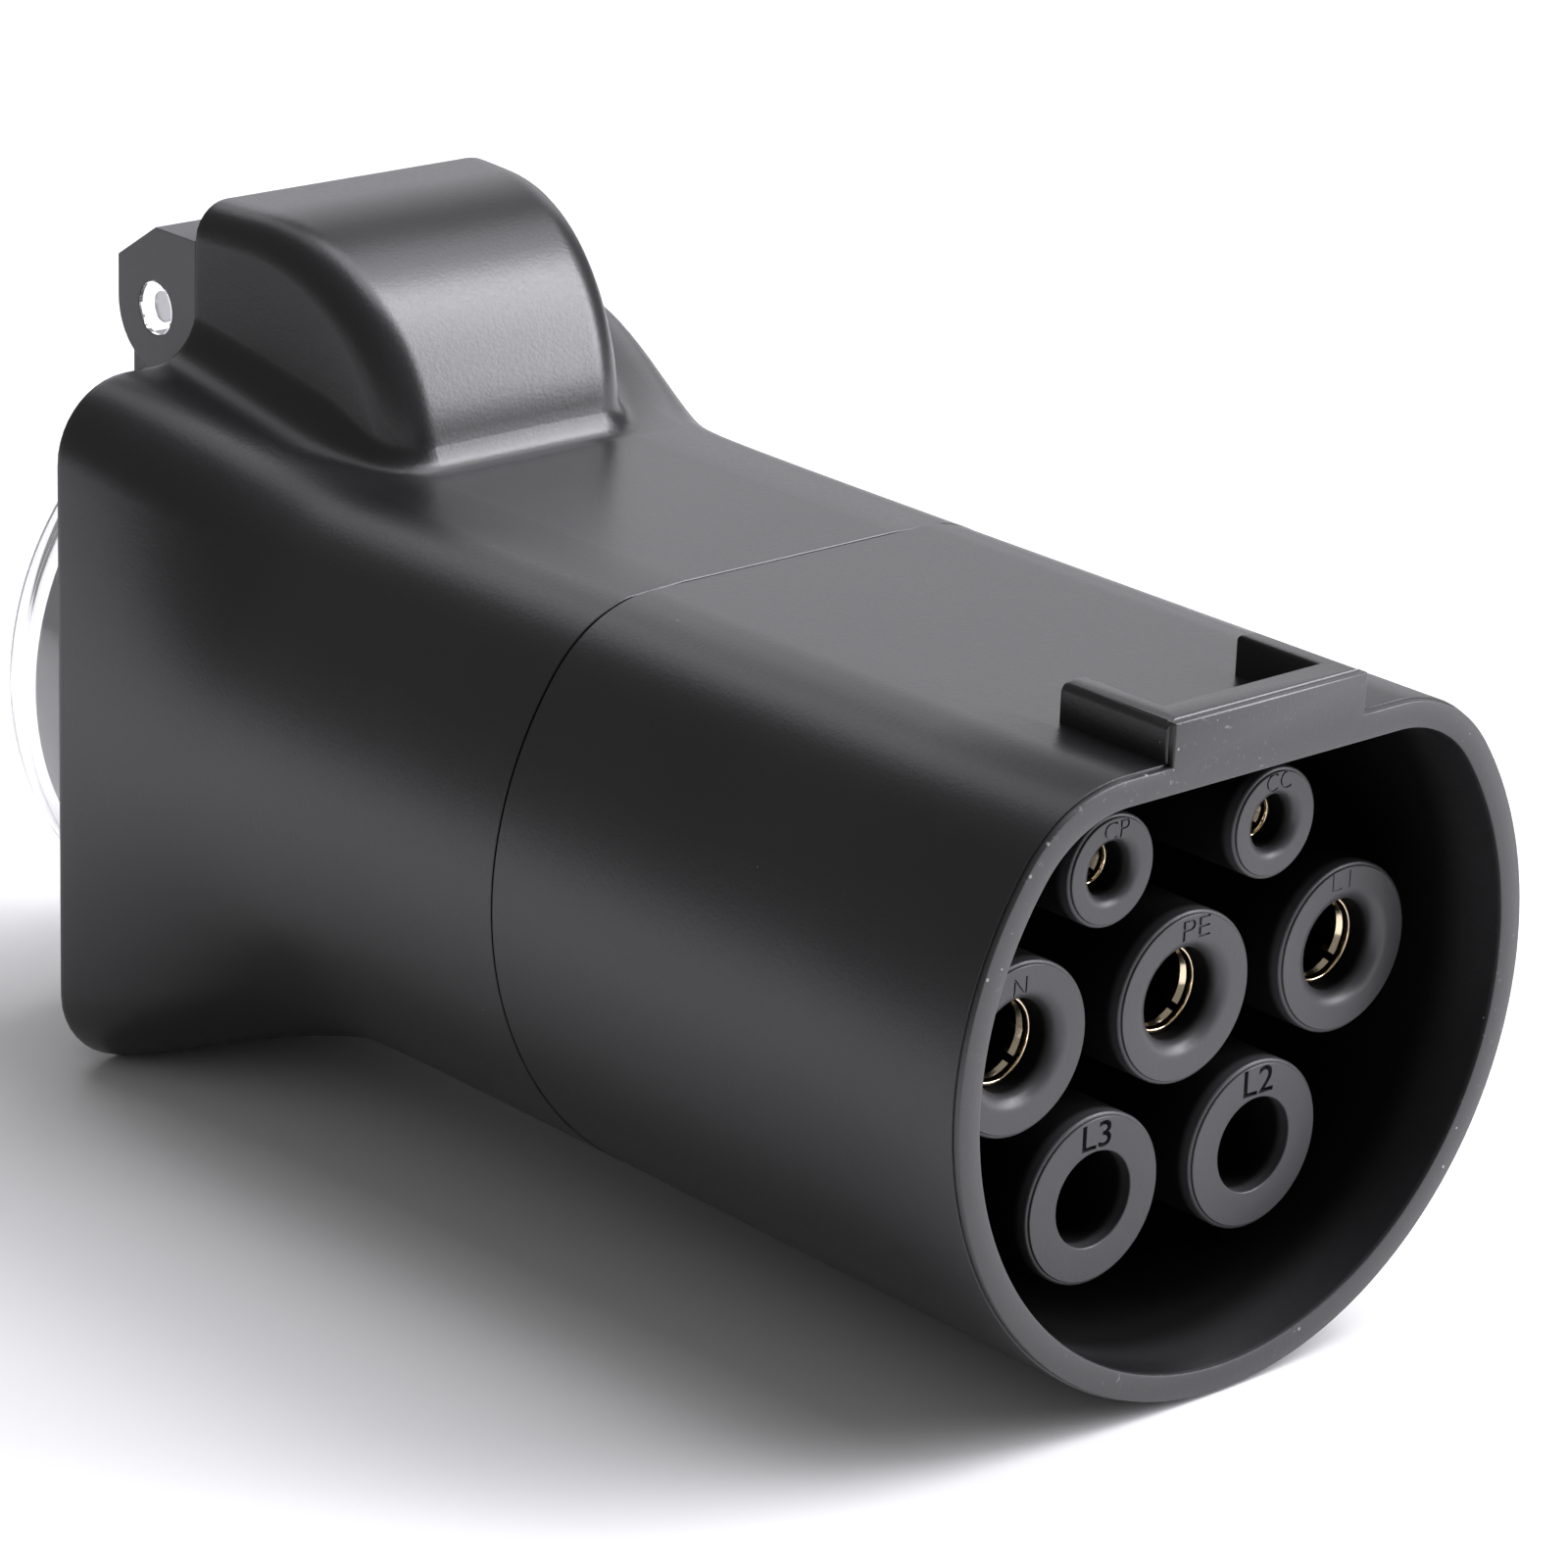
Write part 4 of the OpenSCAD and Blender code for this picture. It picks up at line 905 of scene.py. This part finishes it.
def arc_radius(a: float, centre: Flat, r: float) -> float:
    """Far crossing of a ray at angle a with a circle.

    Args:
        a: the ray's angle in radians.
        centre: the circle's middle.
        r: its radius.

    Returns:
        The distance along the ray.
    """
    d = math.hypot(*centre)
    off = a - math.atan2(centre[1], centre[0])
    return d * math.cos(off) + math.sqrt(max(0.0, r * r - (d * math.sin(off)) ** 2))


@dataclass
class NoseShell:
    """Front housing: open nose, inner ledge, spigot and the latch catch."""

    outline: NoseOutline = field(default_factory=NoseOutline)
    length: float = 49.1
    wall: float = 2.2
    ledge_y: float = 34.5
    ledge_w: float = 1.2
    spigot_end: float = 54.0
    edge: float = 0.35
    lip: float = 0.55
    step: float = 0.16
    catch_half: float = 9.5
    catch_h: float = 3.1
    catch_len: float = 11.0
    plate_t: float = 3.0
    rib_t: float = 1.9
    sunk: float = 0.8
    rounded: float = 0.9

    def profile(self) -> list[Flat]:
        """Wall section as distance and inset: rebated lip, inner wall and ledge, spigot, outer wall.

        Returns:
            The section.
        """
        e, w, step, lip = self.edge, self.wall, self.step, self.lip
        return [
            (lip + 0.14, 0.0),
            (lip + 0.03, 0.03),
            (lip, step * 0.7),
            (lip, step),
            (0.14, step),
            (0.04, step + 0.05),
            (0.0, step + 0.15),
            (0.0, w - e * 0.7),
            (e * 0.2, w - e * 0.2),
            (e * 0.7, w),
            (self.ledge_y, w),
            (self.ledge_y, w + self.ledge_w),
            (self.ledge_y + 1.5, w + self.ledge_w),
            (self.ledge_y + 1.5, w),
            (self.spigot_end, w),
            (self.spigot_end, w / 2),
            (self.length, w / 2),
            (self.length, 0.05),
            (self.length - 0.05, 0.0),
            (self.length - 0.4, 0.0),
            (self.length * 0.66, 0.0),
            (self.length * 0.33, 0.0),
        ]

    def rounding(self, a: Vector, b: Vector) -> float:
        """Share of the widest rounding for one edge of the catch.

        Args:
            a: one end of the edge.
            b: its other end.

        Returns:
            The share, up to one.
        """
        mid = (a + b) / 2
        x, top = abs(mid.x / MM), mid.z / MM - DROP > self.outline.flat_z + self.catch_h - 0.1
        y = mid.y / MM + LENGTH / 2
        along = abs(a.y - b.y) > 1.5 * MM
        if top and along and x > self.catch_half - 0.1:
            return 1.0
        if top and y > self.catch_len - 0.1:
            return 0.9
        if top and y < self.lip + 0.1:
            return 0.22
        return 0.3

    def catch(self) -> bpy.types.Object:
        """Latch catch: a plate and two ribs with rounded outer edges, and its lip.

        Returns:
            The catch, to join to the shell.
        """
        flat, half, long, high = self.outline.flat_z, self.catch_half, self.catch_len, self.catch_h
        block = Bench.block(at(-half, self.lip, flat - self.sunk), at(half, long, flat + high))
        inner = half - self.rib_t
        gap = Bench.block(at(-inner, self.plate_t, flat - 2), at(inner, long + 2, flat + high + 2))
        Bench.edged(Bench.carve(block, gap), self.rounded, self.rounding)
        side = half - self.step
        front = Bench.block(at(-side, 0.0, flat - self.sunk), at(side, 1.0, flat + high - self.step))
        Bench.apply(front, "BEVEL", width=0.15 * MM, segments=3)
        return Bench.smooth(Bench.carve(block, front, "UNION"))

    def build(self) -> bpy.types.Object:
        """Makes the shell with its catch in one piece.

        Returns:
            The dressed piece.
        """
        rings = [self.outline.ring(y, inset) for y, inset in self.profile()]
        shell = Bench.loft("nose_shell", rings)
        Bench.carve(shell, self.catch(), "UNION")
        Bench.smooth(shell, 40.0)
        return fit_out(shell, RIM, "adapter", "black_plastic", "front_housing")


@dataclass
class Tower:
    """One tower of the carrier, with its mouth and bore."""

    name: str
    x: float
    z: float
    outer: float
    mouth: float
    fillet: float
    bore: float
    mark: Lettering
    edge: float = 0.2
    step: float = 0.16
    mouth_depth: float = 3.0
    blank_depth: float = 26.0

    def profile(self, face: float, back: float) -> list[Flat]:
        """Wall section as radius and distance from the rim.

        Args:
            face: distance of the tower's face.
            back: distance of its rear end.

        Returns:
            The section.
        """
        e, foot = self.edge, face + self.step
        section = [(self.outer, back), (self.outer, foot + e)]
        for i in range(1, 4):
            a = math.pi / 2 * i / 3
            section.append((self.outer - e * (1 - math.cos(a)), foot + e * (1 - math.sin(a))))
        side = self.outer - e
        section += [(side - 0.06, foot), (side - 0.1, face + 0.03), (side - 0.14, face)]
        steps = 8
        for i in range(steps + 1):
            a = math.pi / 2 * i / steps
            r = self.mouth + self.fillet * (1 - math.sin(a))
            section.append((r, face + self.fillet * (1 - math.cos(a))))
        if self.bore > 0:
            deep = face + self.mouth_depth
            section += [(self.mouth, deep), (self.bore, deep), (self.bore, back)]
        else:
            deep = face + self.blank_depth
            section += [(self.mouth, deep), (0.0, deep), (0.0, back)]
        return section

    def build(self, face: float, back: float) -> bpy.types.Object:
        """Makes the tower with its mark cut into the face.

        Args:
            face: distance of the tower's face.
            back: distance of its rear end.

        Returns:
            The tower.
        """
        tower = Bench.turned(self.name, self.profile(face, back), (self.x, self.z), 120)
        Bench.carve(tower, Bench.mark(self.mark, face))
        return Bench.smooth(tower, 40.0)


@dataclass
class TowerBlock:
    """Contact carrier: seven towers on the plate across the nose."""

    outline: NoseOutline = field(default_factory=NoseOutline)
    face: float = 6.4
    plate_y: float = 36.0
    plate_t: float = 7.0
    pitch: float = 16.0
    pilot_z: float = 11.25
    blank_z: float = -13.25
    inset: float = 2.3
    sunk: float = 0.4

    def towers(self) -> list[Tower]:
        """The seven towers.

        Returns:
            The towers, live ones first.
        """
        power = dict(outer=6.45, mouth=POWER_MOUTH, fillet=1.15, bore=4.03)
        pilot = dict(outer=4.15, mouth=PILOT_MOUTH, fillet=0.8, bore=2.48)
        blank = dict(outer=6.45, mouth=3.6, fillet=0.12, bore=0.0)
        bold, faint = dict(weight=0.03, depth=0.6), dict(weight=-0.03, depth=0.06)
        wide, half, high, low = self.pitch, self.pitch / 2, self.pilot_z, self.blank_z
        return [
            Tower("tower_n", -wide, 0.0, mark=Lettering("N", -16.25, 4.65, 1.5, 1.25), **power),
            Tower("tower_pe", 0.0, 0.0, mark=Lettering("PE", 0.7, 5.1, 1.55, 2.7), **power),
            Tower("tower_l1", wide, 0.0, mark=Lettering("L1", 15.3, 5.3, 1.3, 1.9, **faint), **power),
            Tower("tower_cp", -half, high, mark=Lettering("CP", -7.8, 14.25, 1.35, 2.4), **pilot),
            Tower("tower_cc", half, high, mark=Lettering("CC", 8.1, 14.4, 1.35, 2.5), **pilot),
            Tower("tower_l3", -half, low, mark=Lettering("L3", -8.0, -8.4, 2.0, 2.8, **bold), **blank),
            Tower("tower_l2", half, low, mark=Lettering("L2", 8.1, -8.3, 2.1, 3.0, **bold), **blank),
        ]

    def plate(self) -> bpy.types.Object:
        """Plate across the nose, with a hole for each live tower.

        Returns:
            The plate.
        """
        rear_y = self.plate_y + self.plate_t
        levels = (self.plate_y, self.plate_y + self.plate_t / 2, rear_y)
        rings = [self.outline.ring(y, self.inset) for y in levels]
        front, rear = ([at(0, y, 0)] * len(rings[0]) for y in (self.plate_y, rear_y))
        rings = [front, *rings, rear]
        plate = Bench.loft("carrier_plate", rings, shut=False)
        for tower in self.towers():
            if tower.bore > 0:
                start, end = self.plate_y - 6.0, rear_y + 7.0
                hole = [(0.0, start), (tower.bore, start), (tower.bore, end), (0.0, end)]
                Bench.carve(plate, Bench.turned("hole", hole, (tower.x, tower.z), 48))
        return plate

    def build(self) -> bpy.types.Object:
        """Makes the carrier in one piece.

        Returns:
            The dressed piece.
        """
        parts = [self.plate()] + [t.build(self.face, self.plate_y + self.sunk) for t in self.towers()]
        block = Bench.join("tower_block", parts)
        return fit_out(block, TOWER, "adapter", "black_plastic", "contact_carrier")


@dataclass
class SleeveLips:
    """Rolled front edges of the contact sleeves, in the towers' mouths."""

    front: float = 8.75
    back: float = 9.35

    def lip(self, name: str, inner: float, outer: float) -> bpy.types.Object:
        """One lip on the nose's axis.

        Args:
            name: the piece's name.
            inner: its inner radius.
            outer: its outer radius.

        Returns:
            The lip.
        """
        profile = [
            (inner, self.back),
            (inner, self.front + 0.16),
            (inner + 0.05, self.front + 0.04),
            (inner + 0.14, self.front),
            (outer - 0.1, self.front + 0.02),
            (outer - 0.02, self.front + 0.1),
            (outer, self.front + 0.2),
            (outer, self.back),
        ]
        return Bench.turned(name, profile, (0.0, 0.0))

    def build(self, towers: Sequence[Tower]) -> None:
        """Makes one lip for each size and copies it to each live tower.

        Args:
            towers: the carrier's towers.
        """
        models = {
            POWER_MOUTH: self.lip("power_lip", 3.03, 3.42),
            PILOT_MOUTH: self.lip("pilot_lip", 1.53, 1.97),
        }
        for tower in towers:
            if tower.bore > 0:
                model = models[tower.mouth]
                piece = bpy.data.objects.new(tower.name.replace("tower", "lip"), model.data.copy())
                bpy.context.scene.collection.objects.link(piece)
                piece.data.transform(Matrix.Translation((tower.x * MM, 0.0, tower.z * MM)))
                fit_out(piece, GOLD, "adapter", "gold_plate")
        for model in models.values():
            bpy.data.objects.remove(model)


@dataclass
class RearShell:
    """Rear housing: neck, flare and hump in one smooth skin."""

    outline: NoseOutline = field(default_factory=NoseOutline)
    seam: float = 49.3
    rear: float = 103.0
    flare_y: float = 83.2
    half: float = 28.1
    top: float = 26.0
    low: float = -31.0
    corner: float = 6.5
    opens: float = 1.14
    closes: float = 1.34
    ease: float = 0.2
    hump_r: float = 17.3
    hump_y: float = 98.2
    hump_z: float = 21.2
    front_x: float = 11.3
    rear_x: float = 14.95
    swell: float = 1.3
    crest: float = 3.0
    foot: float = 2.0
    side_foot: float = 4.2
    foot_run: Flat = (1.0, 7.0)
    centre_z: float = -2.5
    wall_t: float = 2.2
    spigot_t: float = 1.0
    spigot_y: float = 55.0
    inner_y: float = 80.0
    bore_r: float = 23.0
    bore_y: float = 87.5
    seat_r: float = 24.4
    seat_y: float = 100.5

    def __post_init__(self) -> None:
        """Finds where the hump's arc meets the hollow at its foot."""
        rise = self.outline.flat_z + self.foot - self.hump_z
        self.arc_start = math.asin(rise / self.hump_r)
        self.front_y = self.hump_y - math.sqrt(self.hump_r**2 - rise**2)

    def square_radius(self, a: float) -> float:
        """Distance from the axis to the rear face's outline at angle a.

        Args:
            a: the angle in radians.

        Returns:
            The distance.
        """
        cx, cz, fz = self.half - self.corner, self.top - self.corner, self.low + self.corner
        if a >= math.atan2(self.top, cx):
            return self.top / math.sin(a)
        if a >= math.atan2(cz, self.half):
            return arc_radius(a, (cx, cz), self.corner)
        if a >= math.atan2(fz, self.half):
            return self.half / math.cos(a)
        if a >= math.atan2(self.low, cx):
            return arc_radius(a, (cx, fz), self.corner)
        return self.low / math.sin(a)

    def flare(self, y: float) -> float:
        """Share of the rear face's outline at distance y.

        Args:
            y: the distance from the rim.

        Returns:
            The share, from zero to one.
        """
        t = (y - self.flare_y) / (self.rear - self.flare_y)
        t = clamp((t + math.hypot(t, self.ease)) / 2, 0.0, 1.0)
        return 1 - (1 - t**self.opens) ** self.closes

    def skin(self, y: float, a: float) -> Flat:
        """Point of the skin without the hump."""
        r = lerp(self.outline.radius(a), self.square_radius(a), self.flare(y))
        return r * math.cos(a), r * math.sin(a)

    def roof(self, y: float) -> float:
        """Height of the skin's top at distance y."""
        return lerp(self.outline.flat_z, self.top, self.flare(y))

    def hump_half(self, y: float) -> float:
        """Half width of the hump at distance y, which grows fast behind its front."""
        part = clamp((y - self.front_y) / (self.rear - self.front_y), 0.0, 1.0)
        return lerp(self.front_x, self.rear_x, 1 - (1 - part) ** self.swell)

    def foot_at(self, y: float) -> float:
        """Radius of the foot's hollow at distance y: small in front, wide beside the hump.

        Args:
            y: the distance from the rim.

        Returns:
            The radius.
        """
        start, length = self.foot_run
        part = clamp((y - self.front_y - start) / length, 0.0, 1.0)
        return lerp(self.foot, self.side_foot, part * part * (3 - 2 * part))

    def hollow(self, d: float, y: float) -> float:
        """Height of the foot's hollow at distance d from the wall."""
        foot = self.foot_at(y)
        return foot - math.sqrt(max(0.0, foot**2 - (foot - d) ** 2))

    def plan(self, y: float, d: float) -> float:
        """Half width of the hump's plan, grown outwards by d.

        Args:
            y: the distance from the rim.
            d: the growth.

        Returns:
            The half width.
        """
        left = self.front_y + self.crest - y
        if left > 0:
            return self.hump_half(y) - self.crest + math.sqrt(max(0.0, (self.crest + d) ** 2 - left**2))
        return self.hump_half(y) + d

    def height(self, y: float, x: float) -> float:
        """Height of the hump at distance y and offset x.

        Args:
            y: the distance from the rim.
            x: the offset from the middle.

        Returns:
            The height.
        """
        if y < self.front_y:
            return self.roof(y) + self.hollow(min(self.foot, self.front_y - y), y)
        side = clamp((x - self.hump_half(y) + self.crest) / self.crest, 0.0, 1.0)
        reach = self.hump_r - self.crest + self.crest * math.sqrt(1 - side**2)
        back = self.hump_y - min(y, self.hump_y)
        return max(self.roof(y) + 0.2, self.hump_z + math.sqrt(max(0.0, reach**2 - back**2)))

    def crest_end(self, y: float) -> float:
        """Offset where the crest's rounding meets the wall's foot.

        Args:
            y: the distance from the rim.

        Returns:
            The offset.
        """
        if y <= self.front_y:
            return self.hump_half(y) - self.crest
        rise = self.roof(y) + self.foot_at(y) - self.hump_z
        reach = math.hypot(rise, self.hump_y - min(y, self.hump_y))
        part = clamp((reach - self.hump_r + self.crest) / self.crest, 0.0, 1.0)
        return self.hump_half(y) - self.crest + self.crest * math.sqrt(1 - part**2)

    def half_ring(self, y: float) -> list[Flat]:
        """Right half of the outline from the top centre to the bottom.

        Args:
            y: the distance from the rim.

        Returns:
            Points as offset and height.
        """
        before = self.front_y - y
        flat_foot = before > self.foot * 0.95  # the hollow is still too low to show
        end = self.crest_end(y)
        foot = self.foot_at(y)
        join_x = end + foot if flat_foot else self.plan(y, foot)
        join = self.skin(y, math.atan2(self.roof(y), join_x))
        start = 0.0 if flat_foot else math.asin(clamp(1 - max(0.0, before) / self.foot, 0.0, 1.0))
        shares = [0.0, 0.2, 0.4, 0.55, 0.65]  # then closer and closer up to the crest's end
        shares += [1 - 0.35 * math.cos(math.pi / 2 * i / 15) ** 1.6 for i in range(1, 16)]
        points = [(end * s, self.height(y, end * s)) for s in shares]
        steps = 9
        for i in range(1, steps):
            part = i / steps
            z = lerp(self.roof(y), join[1], part)
            if flat_foot:
                points.append((lerp(end, join[0], part), z))
                continue
            d = foot * (1 - math.sin(start * (1 - part)))
            x = min(self.plan(y, d), join[0] - (1 - part) * 0.03)
            points.append((x, z + self.hollow(d, y)))
        points.append(join)
        top = math.degrees(math.atan2(join[1], join[0]))
        angles = [min(53.5, top - 0.7) - 1.4 * i for i in range(14)]  # the upper corner, closely spaced
        for low, count in ((-34.0, 22), (-60.0, 18), (-90.0, 10)):  # side, lower corner and underside
            start = angles[-1]
            angles += [lerp(start, low, i / count) for i in range(1, count + 1)]
        return points + [self.skin(y, math.radians(a)) for a in angles]

    def ring(self, y: float) -> list[Vector]:
        """Whole outline at distance y."""
        half = self.half_ring(y)
        return [at(x, y, z) for x, z in half] + [at(-x, y, z) for x, z in half[-2:0:-1]]

    def inner(
        self, y: float, outer: Sequence[Vector], reach: Callable[[float], float], up: float
    ) -> list[Vector]:
        """Ring inside the shell with a point for each outer one.

        Args:
            y: the new ring's distance.
            outer: the ring that it answers to.
            reach: gives the distance from its middle at an angle in radians.
            up: height of its middle.

        Returns:
            The ring.
        """
        ring = []
        for p in outer:
            x, z = p.x / MM, p.z / MM - DROP - up
            a = math.atan2(z, abs(x))
            r = reach(a)
            across = math.copysign(r * math.cos(a), x) if abs(x) > 1e-6 else 0.0
            ring.append(at(across, y, up + r * math.sin(a)))
        return ring

    def tube(self, y: float, neck: Sequence[Vector], inset: float) -> list[Vector]:
        """Inner ring of the neck at distance y, drawn in from the outline by inset."""
        return self.inner(y, neck, lambda a: self.outline.radius(a) - inset, 0.0)

    def disc(self, y: float, back: Sequence[Vector], r: float) -> list[Vector]:
        """Round inner ring behind the outlet at distance y."""
        return self.inner(y, back, lambda a: r, self.centre_z)

    def stations(self) -> list[float]:
        """Distances of the outline's rings.

        Returns:
            The distances, front to back.
        """
        ys = [self.seam + 0.06, self.seam + 0.5, 55.0, 62.0, 68.0, 72.0, 75.0, 77.5]  # the neck
        ys += [self.front_y - self.foot * (1 - math.sin(math.pi / 2 * i / 9)) for i in range(10)]
        turns = [lerp(self.arc_start, math.pi / 2, i / 26) for i in range(1, 27)]
        ys += [self.hump_y - self.hump_r * math.cos(a) for a in turns]
        return ys + [99.4, 100.6, 101.6, 102.4]  # behind the hump's highest line

    def shrunk(self, ring: Sequence[Vector], y: float, inset: float) -> list[Vector]:
        """Ring moved to y and drawn in towards the middle by inset.

        Args:
            ring: the ring.
            y: its new distance.
            inset: how far it is drawn in.

        Returns:
            The new ring.
        """
        out = []
        for p in ring:
            q = Vector((p.x, 0.0, p.z - at(0, 0, 0).z))
            q *= 1 - inset * MM / q.length
            out.append(Vector((q.x, at(0, y, 0).y, q.z + at(0, 0, 0).z)))
        return out

    def build(self) -> bpy.types.Object:
        """Makes the shell with its wall, seat and rear face.

        Returns:
            The dressed piece.
        """
        skin = [self.ring(y) for y in self.stations()]
        neck, back = self.ring(self.seam), self.ring(self.rear)
        rings = [self.shrunk(neck, self.seam, 0.3), self.shrunk(neck, self.seam, 0.06), *skin]
        rings += [self.ring(self.rear - 0.3), self.shrunk(back, self.rear - 0.06, 0.05)]
        rings += [self.shrunk(back, self.rear, 0.3)]
        rings += [self.disc(y, back, self.seat_r) for y in (self.rear, self.seat_y)]
        rings += [self.disc(y, back, self.bore_r) for y in (self.seat_y, self.bore_y)]
        rings += [self.tube(y, neck, self.wall_t) for y in (self.inner_y, self.spigot_y)]
        rings += [self.tube(y, neck, self.spigot_t) for y in (self.spigot_y, self.seam)]
        shell = Bench.loft("rear_shell", rings)
        Bench.smooth(shell, 38.0)
        return fit_out(shell, BLACK, "adapter", "black_plastic", "rear_housing")


@dataclass
class LidSet:
    """Clear lid and the hinge bracket."""

    bracket_edge: float = 0.14

    def build(self) -> None:
        """Finishes the lid and the pressed bracket."""
        fit_out(Bench.copied("lid"), CLEAR, "lid", "clear_plastic", "lid")
        bracket = Bench.softened("hinge_bracket", self.bracket_edge, steps=2)
        fit_out(bracket, COAT, "adapter", "black_metal", "hinge_bracket")


@dataclass
class Outlet:
    """Insert and plate behind the lid."""

    plate_edge: float = 0.3
    insert_edge: float = 0.2

    def build(self) -> None:
        """Finishes the plate and the insert."""
        plate = Bench.softened("outlet_plate", self.plate_edge)
        fit_out(plate, BLACK, "adapter", "black_plastic", "outlet_plate")
        insert = Bench.softened("outlet_insert", self.insert_edge)
        fit_out(insert, PALE, "adapter", "pale_grey_plastic", "outlet_insert")


@dataclass
class CarriedOver:
    """CAD nodes whose shape stays, with better surfaces."""

    finishes: dict[str, Finish] = field(
        default_factory=lambda: {
            **{n: GOLD for n in ("contact_n", "contact_pe", "contact_l1", "contact_cp", "contact_cc")},
            **{n: BRASS for n in ("outlet_contact_neutral", "outlet_contact_line", "earth_strap")},
            **{n: RING for n in ("seam_seal", "plate_gasket")},
            **{n: SLATE for n in ("contact_retainer", "contact_block")},
            "lid_seal": SOFT,
            "bracket_rivets": COAT,
            "coding_board": BOARD,
            "coding_resistors": TAN,
            **JACKETS,
        }
    )

    def build(self) -> None:
        """Dresses every CAD node that still shows."""
        for name, node in frame["nodes"].items():
            if not node.hide_render:
                self.finishes.get(name, ZINC).on(node)
                log.info("%s: carried over", name)


@dataclass
class Studio:
    """Camera, lamps, world and floor."""

    eye: Point = (-274.88, -254.12, 151.69)
    right: Point = (0.74896, -0.66164, 0.03592)
    down: Point = (-0.20053, -0.278, -0.93942)
    ahead: Point = (0.63154, 0.69638, -0.34089)
    lens: float = 133.64
    pale: float = 0.97
    light: Point = (1.0, 0.988, 1.045)
    target: Point = (0.0, 0.0, 0.03)
    sky: float = 0.22
    floor_size: float = 8.0
    floor_z: float = -31.02
    floor_run: Flat = (103.0, -3.2)

    def camera(self) -> None:
        """Camera at the photograph's place."""
        data = bpy.data.cameras.new("camera")
        data.lens, data.sensor_width, data.sensor_height = self.lens, 36.0, 36.0
        data.clip_start, data.clip_end = 0.01, 20.0
        camera = bpy.data.objects.new("camera", data)
        bpy.context.scene.collection.objects.link(camera)
        axes = Matrix((self.right, [-c for c in self.down], [-c for c in self.ahead])).transposed()
        camera.matrix_world = Matrix.Translation(at(*self.eye)) @ axes.to_4x4()
        bpy.context.scene.camera = camera

    def lamp(self, name: str, place: Point, size: Flat, power: float, lean: float = 0.0) -> None:
        """Soft rectangular lamp that points at the adapter.

        Args:
            name: the lamp's name.
            place: its place in metres from the adapter's middle.
            size: its width and height in metres.
            power: its power in watts.
            lean: its turn about its own line of sight, in degrees.
        """
        data = bpy.data.lights.new(name, "AREA")
        data.shape, data.size, data.size_y, data.energy = "RECTANGLE", *size, power
        data.color = self.light
        lamp = bpy.data.objects.new(name, data)
        bpy.context.scene.collection.objects.link(lamp)
        lamp.location = Vector(place)
        lamp.rotation_mode = "QUATERNION"
        aim = (Vector(self.target) - lamp.location).to_track_quat("-Z", "Y")
        lamp.rotation_quaternion = aim @ Quaternion((0.0, 0.0, 1.0), math.radians(lean))

    def world(self) -> None:
        """Dim even light from all around."""
        world = bpy.data.worlds.new("studio")
        bpy.context.scene.world = world
        world.use_nodes = True
        graph = Graph(world.node_tree)
        inputs = {"Color": (1.0, 1.0, 1.0, 1.0), "Strength": self.sky}
        sky = graph.node("ShaderNodeBackground", {}, inputs)
        graph.node("ShaderNodeOutputWorld", {}, {"Surface": sky.outputs[0]})

    def floor(self) -> None:
        """Pale floor that touches the nose's rim and the rear face's edge."""
        Bench.clear()
        bpy.ops.mesh.primitive_plane_add(size=self.floor_size)
        floor = bpy.context.object
        floor.name = "floor"
        far, drop = self.floor_run
        turn = Matrix.Rotation(math.atan2(drop, far), 4, "X")
        floor.data.transform(Matrix.Translation(at(0, far, self.floor_z)) @ turn)
        paint = bpy.data.materials.new("pale_floor")
        paint.use_nodes = True
        graph = Graph(paint.node_tree)
        lit = graph.node("ShaderNodeBsdfDiffuse", {}, {"Color": (self.pale,) * 3 + (1.0,)})
        graph.node("ShaderNodeOutputMaterial", {}, {"Surface": lit.outputs[0]})
        floor.data.materials.append(paint)

    def build(self) -> None:
        """Sets the whole studio up."""
        self.camera()
        self.lamp("key", (0.80, -0.61, 0.66), (0.36, 1.25), 19.5, -25.0)
        self.lamp("back", (0.87, 0.95, 0.52), (1.0, 0.85), 2.6)
        self.lamp("slope", (0.40, 1.05, 0.86), (0.55, 0.5), 0.7)
        self.lamp("brow", (0.03, 0.60, 1.20), (0.42, 1.3), 2.0)
        self.lamp("bridge", (0.42, -0.14, 1.12), (1.0, 0.72), 7.6)
        self.world()
        self.floor()
        bpy.context.scene.view_settings.view_transform = "Standard"


def main() -> None:
    """Builds the adapter."""
    logging.basicConfig(level=logging.INFO)
    for old in list(bpy.data.objects):
        if old.type in {"LIGHT", "CAMERA"}:
            bpy.data.objects.remove(old)
    NoseShell().build()
    TowerBlock().build()
    SleeveLips().build(TowerBlock().towers())
    RearShell().build()
    LidSet().build()
    Outlet().build()
    CarriedOver().build()
    Studio().build()


if __name__ == "__main__":
    main()
